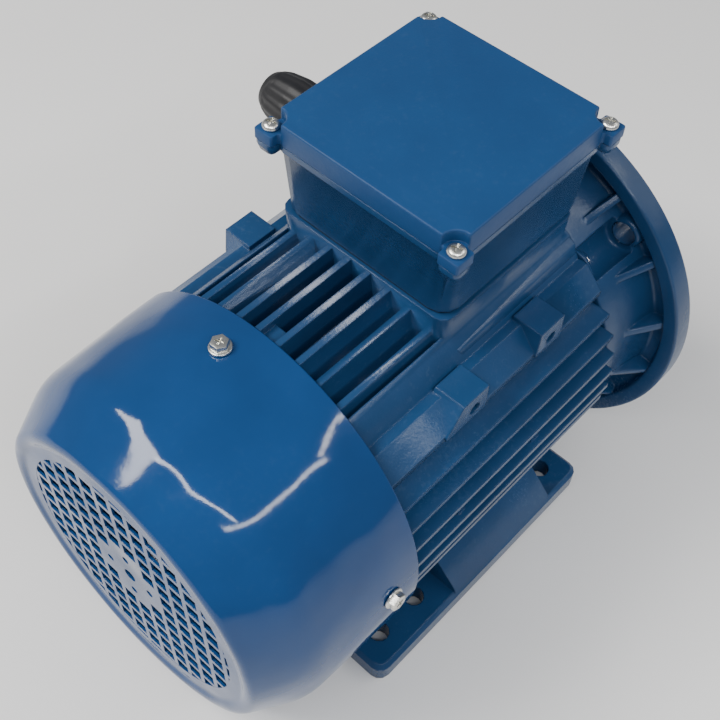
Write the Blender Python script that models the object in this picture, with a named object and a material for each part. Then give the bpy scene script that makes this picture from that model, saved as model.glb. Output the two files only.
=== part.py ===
# Foot and flange mounted induction motor, fan cooled, with a terminal box on top.
# Every piece is modelled about the shaft axis: X runs along the shaft towards the
# drive end, x = 0 is the flange's mounting face, and Z is up. The empty "motor"
# then lifts the axis so that the rim of the flange stands on z = 0.
import math

import bmesh
import bpy
from mathutils import Matrix, Vector

mm = 0.001
GAP = 0.3 * mm              # between two pieces that touch

# Frame casting
BORE_RADIUS = 65.0 * mm
FRAME_WALL = 6.0 * mm
FIN_HEIGHT = 14.3 * mm
FIN_PITCH = 11.0 * mm
FIN_ROOT = 4.6 * mm
FIN_TIP = 3.0 * mm
FRAME_LENGTH = 150.0 * mm
SHAFT_HEIGHT = 90.0 * mm    # axis above the underside of the feet
PAD_RISE = 2.6 * mm         # foot pads stand this far past the rail corners
PAD_REACH = 9.0 * mm
PAD_LENGTH = 16.0 * mm
PAD_RAMP = 9.0 * mm
PEDESTAL_INSET = 2.6 * mm   # inside the lid's edge
PAD_STATIONS = (-131.0 * mm, -80.0 * mm)
BRIDGE_LENGTH = 18.5 * mm   # block between the two middle fins at the fan end
LEAD_SLOT = (11.0 * mm, 24.0 * mm)
LEAD_INSET = 10.5 * mm      # middle of the lead slot behind the frame's drive end
PAD_DRILL = 12.0 * mm
SIDE_HOLE = 3.2 * mm
FOOT_SCREW_OUTSET = 1.6 * mm
TIE_INSET = 6.4 * mm

# Drive end flange
FLANGE_RADIUS = 100.0 * mm
FLANGE_THICKNESS = 11.5 * mm
FLANGE_DEPTH = 39.7 * mm    # mounting face back to the frame
SPIGOT_RADIUS = 65.0 * mm
SPIGOT_HEIGHT = 3.5 * mm
BOLT_CIRCLE = 165.0 * mm
BOLT_HOLE = 6.0 * mm
WEB_THICKNESS = 9.0 * mm
REGISTER_DEPTH = 6.3 * mm
EAR_THICKNESS = 11.0 * mm

# Shaft, bearings and seal
SHAFT_RADIUS = 12.0 * mm
SHAFT_LENGTH = 50.0 * mm
KEY_WIDTH = 8.0 * mm
KEY_HEIGHT = 7.0 * mm
KEY_LENGTH = 40.0 * mm
KEY_SEAT = 4.0 * mm
JOURNAL_RADIUS = 12.5 * mm
SHOULDER_RADIUS = 15.0 * mm
CORE_SEAT_RADIUS = 17.0 * mm
FAN_SEAT_RADIUS = 10.0 * mm
BEARING_RADIUS = 26.0 * mm
BEARING_WIDTH = 15.0 * mm
BEARING_RING = 3.0 * mm
BALL_COUNT = 9
DRIVE_BEARING = -15.6 * mm  # drive side face of the drive end bearing
FAN_BEARING = 4.0 * mm      # how far the other bearing stands into the frame
SEAL_RADIUS = 20.0 * mm
SEAL_WIDTH = 7.0 * mm
SPRING_WIDTH = 3.0 * mm

# Electrical core
CORE_LENGTH = 100.0 * mm
CORE_CENTRE = -115.0 * mm
AIR_BORE = 41.0 * mm
AIR_GAP = 1.0 * mm
STATOR_SLOTS = 24
STATOR_SLOT_DEPTH = 13.0 * mm
ROTOR_SLOTS = 18
ROTOR_SLOT_DEPTH = 9.0 * mm
END_TURN = 17.5 * mm
END_RING = 9.0 * mm
STATOR_SLOT = (1.9 * mm, 3.6 * mm)   # half widths at the bore and at the floor
ROTOR_SLOT = (2.6 * mm, 1.8 * mm)
SLOT_LINER = 0.4 * mm

# Fan end shield, fan and cowl
SHIELD_RADIUS = 72.0 * mm
SHIELD_THICKNESS = 10.0 * mm
COWL_WALL = 1.2 * mm
COWL_CLEARANCE = 1.0 * mm
COWL_LENGTH = 83.0 * mm
COWL_OVERLAP = 9.0 * mm
COWL_BEVEL = 23.0 * mm      # length of the tapered end of the cowl
COWL_TAPER = 13.0 * mm
COWL_DRAFT = 1.2 * mm
GRILLE_RECESS = 2.2 * mm
GRILLE_MARGIN = 12.0 * mm
GRILLE_PITCH = 9.5 * mm
GRILLE_BAR = 2.6 * mm
COWL_SCREW_STATION = 7.5 * mm
COWL_SCREW_TURN = math.radians(-5)
FAN_RADIUS = 74.0 * mm
FAN_WIDTH = 30.0 * mm
FAN_BLADES = 7

# Terminal box
BOX_CENTRE = -80.8 * mm
BOX_FLOOR_RISE = 0.3 * mm    # pedestal above the fin tips
BOX_HEIGHT = 38.7 * mm
BOX_WALL = 3.5 * mm
BOX_RIM = 3.2 * mm
BOX_STEP = 1.5 * mm         # rim proud of the wall
BOX_DRAFT = 2.3 * mm
BOX_CORNER = 9.0 * mm
LID_LENGTH = 98.5 * mm
LID_WIDTH = 98.5 * mm
LID_CORNER = 3.0 * mm
LID_EDGE = 4.0 * mm
LID_CROWN = 5.6 * mm
LID_SCREW_INSET = 1.1 * mm
EAR_HALF = 5.0 * mm         # square ear round each lid screw
EAR_DROP = 8.0 * mm
LID_NOTCH = 6.3 * mm
GASKET = 0.8 * mm
GASKET_WIDTH = 2.9 * mm
BOX_SCREW_INSET = 20.0 * mm
BOARD = (62.0 * mm, 38.0 * mm, 5.0 * mm)
BOARD_SCREW_INSET = 4.5 * mm
BOARD_TO_LEAD = 4.0 * mm    # from the board's end to the middle of the leads
BOARD_STANDOFF = 4.0 * mm
STUD_PITCH = 17.0 * mm
LINK_THICKNESS = 1.2 * mm
GLAND_OFFSET = -12.6 * mm   # from the middle of the box
GLAND_LEVEL = 107.0 * mm
GLAND_BORE = 6.5 * mm
GLAND_THREAD = 10.0 * mm
GLAND_RADIUS = 13.0 * mm
GLAND_REACH = 35.0 * mm
GLAND_BOSS = 1.2 * mm
GLAND_HEXAGON = 7.0 * mm

# Feet
FOOT_PLATE = 11.0 * mm
FOOT_WIDTH = 29.0 * mm
FOOT_SPAN = 170.0 * mm      # over the outer edges of both feet
FOOT_ENDS = (-196.0 * mm, -41.0 * mm)
FOOT_HOLES = (-181.0 * mm, -156.0 * mm, -56.0 * mm)
FOOT_HOLE_SPAN = 140.0 * mm
FOOT_HOLE = 5.0 * mm
FOOT_BLOCK = (-141.0 * mm, -67.0 * mm)
FOOT_SCREW_SINK = 8.0 * mm

# Screws: shank radius, head radius, head height
TIE_BOLT = (2.5 * mm, 4.5 * mm, 4.0 * mm)
COWL_SCREW = (2.0 * mm, 5.4 * mm, 5.0 * mm)
LID_SCREW = (2.0 * mm, 4.6 * mm, 3.2 * mm)
BOX_SCREW = (2.0 * mm, 4.0 * mm, 3.0 * mm)
FOOT_SCREW = (3.0 * mm, 5.0 * mm, 5.0 * mm)
STUD = (2.0 * mm, 3.8 * mm, 3.2 * mm)
HOLE_CLEARANCE = 0.4 * mm

# Sizes worked out from the ones above
ROOT_RADIUS = BORE_RADIUS + FRAME_WALL
TIP_RADIUS = ROOT_RADIUS + FIN_HEIGHT
CORNER = TIP_RADIUS / math.sqrt(2)
FRAME_FRONT = -FLANGE_DEPTH - GAP
FRAME_BACK = FRAME_FRONT - FRAME_LENGTH
COWL_EDGE = FRAME_BACK + COWL_OVERLAP
COWL_FACE = COWL_EDGE - COWL_LENGTH
COWL_INNER = TIP_RADIUS + COWL_CLEARANCE
COWL_OUTER = COWL_INNER + COWL_WALL
PAD_LEVEL = CORNER + PAD_RISE
PAD_SIDE = CORNER + PAD_REACH
TIE_PLACE = CORNER - TIE_INSET
FOOT_SCREW_PLACE = CORNER + FOOT_SCREW_OUTSET
LEAD_STATION = FRAME_FRONT - LEAD_INSET
SEAL_BACK = DRIVE_BEARING + GAP + 3.2 * mm
FAN_BEARING_FACE = FRAME_BACK + FAN_BEARING
SPRING_FACE = FAN_BEARING_FACE - BEARING_WIDTH - GAP
POCKET_END = SPRING_FACE - SPRING_WIDTH - GAP
SHIELD_BACK = FRAME_BACK - GAP - SHIELD_THICKNESS
CORE_BACK = CORE_CENTRE - CORE_LENGTH / 2
CORE_FRONT = CORE_CENTRE + CORE_LENGTH / 2
ROTOR_RADIUS = AIR_BORE - AIR_GAP
BALL_PITCH = (BEARING_RADIUS + JOURNAL_RADIUS) / 2
BOX_FLOOR_LEVEL = TIP_RADIUS + BOX_FLOOR_RISE
BOX_BOTTOM = BOX_FLOOR_LEVEL + GASKET + 2 * GAP
BOX_TOP = BOX_BOTTOM + BOX_HEIGHT
LID_BOTTOM = BOX_TOP + GASKET + 2 * GAP
LID_SEAT = LID_BOTTOM + LID_EDGE
LID_TOP = LID_SEAT + LID_CROWN
FLOOR = BOX_BOTTOM + BOX_WALL
BOARD_CENTRE = LEAD_STATION - BOARD_TO_LEAD - BOARD[0] / 2
BOARD_LEVEL = FLOOR + BOARD_STANDOFF
BOARD_TOP = BOARD_LEVEL + BOARD[2]
LINK_LEVEL = BOARD_TOP + GAP
FOOT_SCREW_SEAT = -SHAFT_HEIGHT + FOOT_SCREW_SINK
GLAND_STATION = BOX_CENTRE + GLAND_OFFSET
GLAND_SEAT = LID_WIDTH / 2 + GLAND_BOSS
FAN_FACE = POCKET_END - 8.5 * mm
CLIP_FACE = FAN_FACE - FAN_WIDTH - 2.1 * mm
SHAFT_BACK = FAN_FACE - FAN_WIDTH - 5.0 * mm
OVERALL_LENGTH = SHAFT_LENGTH - COWL_FACE

LARGE, MEDIUM, SMALL = 32, 24, 8   # sides of round pieces

CORNERS = [math.radians(45 + 90 * turn) for turn in range(4)]
SIGNS = [(sy, sz) for sy in (1, -1) for sz in (1, -1)]
TIE_PLACES = [(sy * TIE_PLACE, sz * TIE_PLACE) for sy, sz in SIGNS]
FOOT_SCREW_PLACES = [(station, side * FOOT_SCREW_PLACE) for station in PAD_STATIONS for side in (1, -1)]
LID_SCREW_PLACES = [(BOX_CENTRE + sx * (LID_LENGTH / 2 - LID_SCREW_INSET),
                     sy * (LID_WIDTH / 2 - LID_SCREW_INSET)) for sx, sy in SIGNS]
BOX_SCREW_PLACES = [(BOX_CENTRE + way * (LID_LENGTH / 2 - BOX_SCREW_INSET),
                     way * (LID_WIDTH / 2 - BOX_SCREW_INSET)) for way in (1, -1)]
EARTH_PLACE = (BOX_SCREW_PLACES[1][0], -BOX_SCREW_PLACES[1][1])
BOARD_SCREW_PLACES = [(BOARD_CENTRE + way * (BOARD[0] / 2 - BOARD_SCREW_INSET), 0.0) for way in (1, -1)]
STUD_PLACES = [(BOARD_CENTRE + STUD_PITCH * column, row * STUD_PITCH / 2)
               for row in (1, -1) for column in (-1, 0, 1)]


# ---- scene and materials ----

def clear_scene():
    for item in list(bpy.data.objects):
        bpy.data.objects.remove(item, do_unlink=True)


def make_material(name, colour, roughness, metallic):
    material = bpy.data.materials.new(name)
    material.use_nodes = True
    shader = material.node_tree.nodes["Principled BSDF"]
    shader.inputs["Base Color"].default_value = (*colour, 1.0)
    shader.inputs["Roughness"].default_value = roughness
    shader.inputs["Metallic"].default_value = metallic
    return material


FINISHES = {
    "blue_paint": ((0.012, 0.102, 0.262), 0.32, 0.0),
    "cowl_paint": ((0.009, 0.072, 0.22), 0.16, 0.0),
    "zinc": ((0.66, 0.66, 0.62), 0.3, 1.0),
    "bright_steel": ((0.6, 0.6, 0.6), 0.25, 1.0),
    "lamination": ((0.28, 0.28, 0.3), 0.5, 1.0),
    "cast_aluminium": ((0.62, 0.62, 0.63), 0.45, 1.0),
    "copper": ((0.62, 0.26, 0.12), 0.35, 1.0),
    "brass": ((0.72, 0.52, 0.2), 0.3, 1.0),
    "black_plastic": ((0.018, 0.018, 0.02), 0.45, 0.0),
    "black_rubber": ((0.015, 0.015, 0.015), 0.75, 0.0),
    "phenolic": ((0.16, 0.07, 0.04), 0.4, 0.0),
    "lead_sleeve": ((0.5, 0.46, 0.36), 0.7, 0.0),
}


def add_axis(name, location, parent=None):
    axis = bpy.data.objects.new(name, None)
    axis.location = location
    axis.parent = parent
    bpy.context.scene.collection.objects.link(axis)
    return axis


def add_piece(name, mesh_data, finish, parent, smooth=True):
    """Turn a bmesh into a named object with its own material."""
    bmesh.ops.recalc_face_normals(mesh_data, faces=mesh_data.faces)
    mesh = bpy.data.meshes.new(name)
    mesh_data.to_mesh(mesh)
    mesh_data.free()
    if smooth:
        mesh.shade_smooth()
        mesh.set_sharp_from_angle(angle=math.radians(32))
    mesh.materials.append(make_material(name + "_" + finish, *FINISHES[finish]))
    piece = bpy.data.objects.new(name, mesh)
    piece.parent = parent
    bpy.context.scene.collection.objects.link(piece)
    return piece


def combine(target, mesh_data, operation, label):
    """Boolean a helper shape into or out of a piece; the helper stays as a guide."""
    bmesh.ops.recalc_face_normals(mesh_data, faces=mesh_data.faces)
    mesh = bpy.data.meshes.new(target.name + "_" + label)
    mesh_data.to_mesh(mesh)
    mesh_data.free()
    tool = bpy.data.objects.new(mesh.name, mesh)
    tool.parent = target.parent
    tool.hide_render = True
    tool.display_type = 'WIRE'
    bpy.context.scene.collection.objects.link(tool)
    modifier = target.modifiers.new(label, 'BOOLEAN')
    modifier.operation = operation
    modifier.solver = 'EXACT'
    modifier.object = tool


def fuse(target, mesh_data, label):
    combine(target, mesh_data, 'UNION', label)


def cut(target, mesh_data, label):
    combine(target, mesh_data, 'DIFFERENCE', label)


# ---- basic shapes ----

def turned(profile, sides, solid=False):
    """Spin a profile of (x, radius) points about X; a solid one ends on the axis."""
    shape = bmesh.new()
    verts = [shape.verts.new((x, 0.0, radius)) for x, radius in profile]
    edges = [shape.edges.new(pair) for pair in zip(verts, verts[1:])]
    if not solid:
        edges.append(shape.edges.new((verts[-1], verts[0])))
    bmesh.ops.spin(shape, geom=verts + edges, cent=(0, 0, 0), axis=(1, 0, 0), dvec=(0, 0, 0),
                   angle=2 * math.pi, steps=sides, use_merge=True)
    bmesh.ops.remove_doubles(shape, verts=shape.verts, dist=1e-6)
    return shape


def rod(radius, start, end, sides=SMALL):
    return turned([(start, 0), (start, radius), (end, radius), (end, 0)], sides, solid=True)


def tube(inner, outer, start, end, sides):
    return turned([(start, inner), (start, outer), (end, outer), (end, inner)], sides)


def prism(outline, start, end, axis):
    """Extrude a flat outline along an axis. The outline is (y, z), (x, z) or (x, y)."""
    place = {"x": lambda u, v: (start, u, v),
             "y": lambda u, v: (u, start, v),
             "z": lambda u, v: (u, v, start)}[axis]
    travel = {"x": (1, 0, 0), "y": (0, 1, 0), "z": (0, 0, 1)}[axis]
    shape = bmesh.new()
    face = shape.faces.new([shape.verts.new(place(u, v)) for u, v in outline])
    grown = bmesh.ops.extrude_face_region(shape, geom=[face])
    moved = [item for item in grown["geom"] if isinstance(item, bmesh.types.BMVert)]
    bmesh.ops.translate(shape, verts=moved, vec=Vector(travel) * (end - start))
    return shape


def block(x, y, z):
    """A box from pairs of limits along each axis."""
    return prism([(x[0], y[0]), (x[1], y[0]), (x[1], y[1]), (x[0], y[1])], z[0], z[1], "z")


def rounded(length, width, radius, steps=3, centre=(0.0, 0.0)):
    """Outline of a rectangle with round corners."""
    points = []
    for corner, (sx, sy) in enumerate(((1, 1), (-1, 1), (-1, -1), (1, -1))):
        middle = (centre[0] + sx * (length / 2 - radius), centre[1] + sy * (width / 2 - radius))
        for step in range(steps + 1):
            angle = math.pi / 2 * (corner + step / steps)
            points.append((middle[0] + radius * math.cos(angle), middle[1] + radius * math.sin(angle)))
    return points


def lofted(sections):
    """Bridge outlines stacked along Z; each section is (z, outline)."""
    shape = bmesh.new()
    loops = []
    for level, outline in sections:
        verts = [shape.verts.new((x, y, level)) for x, y in outline]
        loops.append([shape.edges.new((verts[i - 1], verts[i])) for i in range(len(verts))])
    for low, high in zip(loops, loops[1:]):
        bmesh.ops.bridge_loops(shape, edges=low + high)
    for loop in (loops[0], loops[-1]):
        bmesh.ops.contextual_create(shape, geom=loop)
    return shape


def aimed(shape, direction, location):
    """Turn a shape made along X so that it points along a direction, then place it."""
    turn = Vector((1, 0, 0)).rotation_difference(Vector(direction)).to_matrix().to_4x4()
    bmesh.ops.transform(shape, matrix=Matrix.Translation(location) @ turn, verts=shape.verts)
    return shape


def uprights(places, radius, low, high, sides=SMALL):
    """Rods along Z at each (x, y)."""
    return joined([aimed(rod(radius, low, high, sides), (0, 0, 1), (x, y, 0)) for x, y in places])


def axials(places, radius, start, end, sides=SMALL):
    """Rods along X at each (y, z)."""
    return joined([aimed(rod(radius, start, end, sides), (1, 0, 0), (0, y, z)) for y, z in places])


def joined(shapes):
    """Gather shapes that don't touch into one tool."""
    gathered = bmesh.new()
    for shape in shapes:
        bmesh.ops.recalc_face_normals(shape, faces=shape.faces)
        scrap = bpy.data.meshes.new("scrap")
        shape.to_mesh(scrap)
        shape.free()
        gathered.from_mesh(scrap)
        bpy.data.meshes.remove(scrap)
    return gathered


def spread(maker, angles):
    """Copies of a shape turned about the shaft axis."""
    copies = []
    for angle in angles:
        shape = maker()
        bmesh.ops.rotate(shape, verts=shape.verts, cent=(0, 0, 0), matrix=Matrix.Rotation(angle, 3, 'X'))
        copies.append(shape)
    return joined(copies)


def screw(size, length):
    """A headed screw along X: the head's seat is at x = 0 and the shank runs to -length."""
    shank, head, height = size
    recess = head * 0.45
    return turned([(-length, 0), (-length, shank), (0, shank), (0, head), (height, head * 0.8),
                   (height, recess), (height * 0.45, 0)], SMALL, solid=True)


# ---- frame ----

def fin_side():
    """One side of the finned section, from negative to positive lateral places."""
    last = CORNER - 17.3 * mm
    count = int((last - 2.0 * mm - FIN_ROOT / 2) / FIN_PITCH + 0.5)
    points = []
    for number in range(-count, count):
        middle = (number + 0.5) * FIN_PITCH
        reach = math.sqrt(TIP_RADIUS ** 2 - (abs(middle) + FIN_TIP / 2) ** 2)
        for place, height in ((-FIN_ROOT / 2, None), (-FIN_TIP / 2, reach),
                              (FIN_TIP / 2, reach), (FIN_ROOT / 2, None)):
            lateral = middle + place
            points.append((lateral, height or math.sqrt(ROOT_RADIUS ** 2 - lateral ** 2)))
    return points


def corner_rail():
    """Rail at a corner, in the first quadrant, from the top fins round to the side fins."""
    offsets = ((-16.7, 12.2), (-13.7, 10.4), (-9.5, 4.0), (-6.9, 0.3), (-2.1, 0.7), (7.8, -9.9), (7.8, -13.4))
    start = CORNER - 17.3 * mm
    end = CORNER - 17.5 * mm
    points = [(start, math.sqrt(ROOT_RADIUS ** 2 - start ** 2))]
    points += [(CORNER + u * mm, CORNER + v * mm) for u, v in offsets]
    points.append((math.sqrt(ROOT_RADIUS ** 2 - end ** 2), end))
    return points


def frame_section():
    """The whole finned outline, anticlockwise from the top fins."""
    side = fin_side()
    rail = corner_rail()
    top = [(-u, v) for u, v in side]
    left = [(-v, -u) for u, v in side]
    bottom = [(u, -v) for u, v in side]
    right = [(v, u) for u, v in side]
    return (top + [(-u, v) for u, v in rail] + left + [(-u, -v) for u, v in reversed(rail)] + bottom
            + [(u, -v) for u, v in rail] + right + [(u, v) for u, v in reversed(rail)])


def foot_pad(station, side, face, ramp):
    """A raised pad for a foot; a ramp slopes from its top towards the fan."""
    half = PAD_LENGTH / 2
    deep = CORNER - 12.0 * mm
    outline = [(station + half, deep), (station + half, PAD_LEVEL), (station - half, PAD_LEVEL),
               (station - half - ramp, deep + 2.0 * mm), (station - half - ramp, deep)]
    outline = [(x, face * z) for x, z in outline]
    return prism(outline, side * (CORNER - 6.3 * mm), side * PAD_SIDE, "y")


def foot_pads():
    """Pads at all four corners, so that the feet fit on three sides of the box."""
    pads = []
    for station in PAD_STATIONS:
        for side, face in SIGNS:
            ramped = station == PAD_STATIONS[0] and (side, face) == (-1, 1)
            pads.append(foot_pad(station, side, face, PAD_RAMP if ramped else 1.0 * mm))
    return joined(pads)


def fin_ties():
    """Small blocks between two fins on each side, behind each pair of pads."""
    ties = []
    for station in PAD_STATIONS:
        for side in (1, -1):
            depth = sorted((side * (ROOT_RADIUS - 3.0 * mm), side * (TIP_RADIUS - 3.4 * mm)))
            ties.append(block((station - 19.0 * mm, station - 14.0 * mm), depth,
                              (FIN_PITCH / 2, FIN_PITCH * 1.5)))
    return joined(ties)


def side_holes():
    """Blind holes in the outer sides of the upper pads."""
    level = PAD_LEVEL - 8.5 * mm
    holes = []
    for station in PAD_STATIONS:
        for side in (1, -1):
            drill = rod(SIDE_HOLE, -3.5 * mm, 5 * mm)
            holes.append(aimed(drill, (0, side, 0), (station, side * PAD_SIDE, level)))
    return joined(holes)


def make_frame(parent):
    frame = add_piece("stator_frame", prism(frame_section(), FRAME_BACK, FRAME_FRONT, "x"),
                      "blue_paint", parent, smooth=False)
    fuse(frame, foot_pads(), "pads")
    fuse(frame, lofted([(ROOT_RADIUS * 0.78, pedestal_outline(PEDESTAL_INSET + 2.0 * mm)),
                        (BOX_FLOOR_LEVEL, pedestal_outline(PEDESTAL_INSET))]), "pedestal")
    bridge_top = math.sqrt(TIP_RADIUS ** 2 - FIN_PITCH ** 2) - 3.0 * mm
    fuse(frame, block((FRAME_BACK, FRAME_BACK + BRIDGE_LENGTH), (-FIN_PITCH / 2, FIN_PITCH / 2),
                      (ROOT_RADIUS - 2.0 * mm, bridge_top)), "bridge")
    fuse(frame, fin_ties(), "fin_ties")
    start, end = FRAME_BACK - 5 * mm, FRAME_FRONT + 5 * mm
    cut(frame, rod(BORE_RADIUS, start, end, LARGE), "bore")
    cut(frame, axials(TIE_PLACES, TIE_BOLT[0] + HOLE_CLEARANCE, start, end), "tie_holes")
    low = -PAD_LEVEL - GAP
    cut(frame, uprights(FOOT_SCREW_PLACES, FOOT_SCREW[0] + HOLE_CLEARANCE, low, low + PAD_DRILL),
        "foot_threads")
    cut(frame, side_holes(), "side_holes")
    cut(frame, uprights(BOX_SCREW_PLACES, BOX_SCREW[0] + HOLE_CLEARANCE,
                        BOX_FLOOR_LEVEL - 10 * mm, BOX_FLOOR_LEVEL + 5 * mm), "box_threads")
    cut(frame, lead_slot(BORE_RADIUS * 0.8, BOX_FLOOR_LEVEL + 5 * mm), "lead_slot")


def pedestal_outline(inset):
    """Outline of the pedestal under the box, which stops at the end of the frame."""
    back = BOX_CENTRE - LID_LENGTH / 2 + inset
    middle = ((back + FRAME_FRONT) / 2, 0.0)
    return rounded(FRAME_FRONT - back, LID_WIDTH - 2 * inset, 6.0 * mm, 3, middle)


def lead_slot(low, high):
    outline = rounded(LEAD_SLOT[0], LEAD_SLOT[1], 4.0 * mm, 2, (LEAD_STATION, 0.0))
    return prism(outline, low, high, "z")


# ---- drive end flange ----

def flange_profile():
    back_wall = -WEB_THICKNESS - 8.0 * mm
    pocket = DRIVE_BEARING + GAP
    pocket_end = DRIVE_BEARING - BEARING_WIDTH
    register = -FLANGE_DEPTH - REGISTER_DEPTH
    register_radius = BORE_RADIUS - GAP
    recess = -FLANGE_THICKNESS + 2.0 * mm
    return [
        (SPIGOT_HEIGHT, SPIGOT_RADIUS), (SPIGOT_HEIGHT, SPIGOT_RADIUS - 7.0 * mm),
        (-8.0 * mm, SPIGOT_RADIUS - 10.0 * mm), (-8.0 * mm, BEARING_RADIUS + 7.0 * mm),
        (-4.0 * mm, BEARING_RADIUS + 5.0 * mm), (-4.0 * mm, SEAL_RADIUS + GAP),
        (SEAL_BACK - GAP, SEAL_RADIUS + GAP), (SEAL_BACK - GAP, JOURNAL_RADIUS + 2.5 * mm),
        (pocket, JOURNAL_RADIUS + 2.5 * mm), (pocket, BEARING_RADIUS),
        (pocket_end, BEARING_RADIUS), (pocket_end, BEARING_RADIUS + 6.0 * mm),
        (back_wall, BEARING_RADIUS + 10.0 * mm), (back_wall, register_radius - 5.7 * mm),
        (register, register_radius - 4.7 * mm), (register, register_radius),
        (-FLANGE_DEPTH, register_radius), (-FLANGE_DEPTH, ROOT_RADIUS),
        (-FLANGE_DEPTH + 10.0 * mm, ROOT_RADIUS + 1.0 * mm),
        (-FLANGE_THICKNESS - 1.5 * mm, ROOT_RADIUS + 5.0 * mm),
        (recess, ROOT_RADIUS + 9.0 * mm), (recess, FLANGE_RADIUS - 10.0 * mm),
        (-FLANGE_THICKNESS, FLANGE_RADIUS - 8.0 * mm), (-FLANGE_THICKNESS, FLANGE_RADIUS),
        (0, FLANGE_RADIUS), (0, SPIGOT_RADIUS),
    ]


def flange_rib():
    root = ROOT_RADIUS - 2.0 * mm
    crest = FLANGE_RADIUS - 9.0 * mm
    back = -FLANGE_THICKNESS + 6.0 * mm
    outline = [(-FLANGE_DEPTH + 12.0 * mm, root), (-FLANGE_THICKNESS + 1.0 * mm, crest),
               (back, crest), (back, root)]
    return prism(outline, -2.0 * mm, 2.0 * mm, "y")


def corner_ear(start, end):
    """Ear at a corner of a shield that a tie bolt passes through."""
    middle = TIE_PLACE * math.sqrt(2)
    reach = TIP_RADIUS - 1.0 * mm - middle
    outline = [(-9.0 * mm, BORE_RADIUS + 2.0 * mm), (9.0 * mm, BORE_RADIUS + 2.0 * mm),
               (reach, middle), (reach * 0.6, middle + reach * 0.85),
               (-reach * 0.6, middle + reach * 0.85), (-reach, middle)]
    return prism(outline, start, end, "x")


def make_flange(parent):
    flange = add_piece("drive_end_flange", turned(flange_profile(), LARGE), "blue_paint", parent)
    places = [(BOLT_CIRCLE / 2 * math.cos(turn), BOLT_CIRCLE / 2 * math.sin(turn)) for turn in CORNERS]
    fuse(flange, spread(flange_rib, [math.radians(22.5 + 45 * turn) for turn in range(8)]), "ribs")
    ear = lambda: corner_ear(-FLANGE_DEPTH, -FLANGE_DEPTH + EAR_THICKNESS)
    fuse(flange, spread(ear, CORNERS), "ears")
    cut(flange, axials(places, BOLT_HOLE, -FLANGE_THICKNESS - 4 * mm, 3 * mm, 12), "bolt_holes")
    cut(flange, axials(TIE_PLACES, TIE_BOLT[0] + HOLE_CLEARANCE, -FLANGE_DEPTH - 3 * mm,
                       -FLANGE_DEPTH + EAR_THICKNESS - 2 * mm), "tie_threads")


# ---- fan end shield ----

def cowl_screw_angles():
    """Turns about X from straight up: the top, and both sides, a little off square."""
    return [math.radians(turn) + COWL_SCREW_TURN for turn in (0, 90, -90)]


def shield_profile():
    front = FRAME_BACK - GAP
    register = front + REGISTER_DEPTH
    register_radius = BORE_RADIUS - GAP
    back = SHIELD_BACK
    return [
        (register, register_radius - 6.5 * mm), (register, register_radius), (front, register_radius),
        (front, SHIELD_RADIUS), (back + 2.0 * mm, SHIELD_RADIUS), (back, SHIELD_RADIUS - 4.0 * mm),
        (back, BEARING_RADIUS + 9.0 * mm), (POCKET_END - 4.0 * mm, BEARING_RADIUS + 5.0 * mm),
        (POCKET_END - 4.0 * mm, JOURNAL_RADIUS + 1.0 * mm), (POCKET_END, JOURNAL_RADIUS + 1.0 * mm),
        (POCKET_END, BEARING_RADIUS), (register, BEARING_RADIUS), (register, BEARING_RADIUS + 6.0 * mm),
        (back + 5.0 * mm, BEARING_RADIUS + 9.0 * mm), (back + 5.0 * mm, register_radius - 8.0 * mm),
    ]


def cowl_lug():
    top = COWL_INNER * math.cos(math.pi / LARGE) - GAP
    station = (SHIELD_BACK - 3.0 * mm, FRAME_BACK - GAP)
    return block(station, (-6.0 * mm, 6.0 * mm), (BORE_RADIUS, top))


def make_fan_end_shield(parent):
    shield = add_piece("fan_end_shield", turned(shield_profile(), MEDIUM), "blue_paint", parent)
    fuse(shield, spread(lambda: corner_ear(SHIELD_BACK, FRAME_BACK - GAP), CORNERS), "ears")
    fuse(shield, spread(cowl_lug, cowl_screw_angles() + [math.pi + COWL_SCREW_TURN]), "lugs")
    cut(shield, axials(TIE_PLACES, TIE_BOLT[0] + HOLE_CLEARANCE, SHIELD_BACK - 5 * mm,
                       FRAME_BACK + 5 * mm), "tie_holes")
    cut(shield, spread(cowl_screw_hole, cowl_screw_angles()), "cowl_threads")


def cowl_screw_hole():
    drill = rod(COWL_SCREW[0] + HOLE_CLEARANCE, COWL_OUTER - 12.5 * mm, COWL_OUTER + 3 * mm)
    return aimed(drill, (0, 0, 1), (FRAME_BACK - COWL_SCREW_STATION, 0, 0))


# ---- cowl and its grille ----

def cowl_profile():
    """Closed outline of the cowl's wall, starting at the middle of the grille's outer face."""
    rim = COWL_OUTER - COWL_DRAFT - COWL_TAPER
    bevel = COWL_FACE + COWL_BEVEL
    disc = COWL_FACE + GRILLE_RECESS
    wall = COWL_WALL
    return [
        (disc, 0), (disc + wall, 0), (disc + wall, rim - 4.0 * mm), (COWL_FACE + 2.2 * mm, rim - 2.4 * mm),
        (COWL_FACE + 5.4 * mm, rim - 0.6 * mm), (bevel + 0.4 * mm, COWL_INNER - COWL_DRAFT),
        (COWL_EDGE - COWL_OVERLAP * 2, COWL_INNER), (COWL_EDGE, COWL_INNER), (COWL_EDGE, COWL_OUTER),
        (COWL_EDGE - COWL_OVERLAP * 2, COWL_OUTER), (bevel, COWL_OUTER - COWL_DRAFT),
        (COWL_FACE + 4.0 * mm, rim + 0.4 * mm), (COWL_FACE + 1.1 * mm, rim - 0.8 * mm),
        (COWL_FACE, rim - 2.8 * mm), (COWL_FACE + 0.6 * mm, rim - 4.6 * mm), (disc, rim - 5.4 * mm),
        (disc, 0),
    ]


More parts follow.
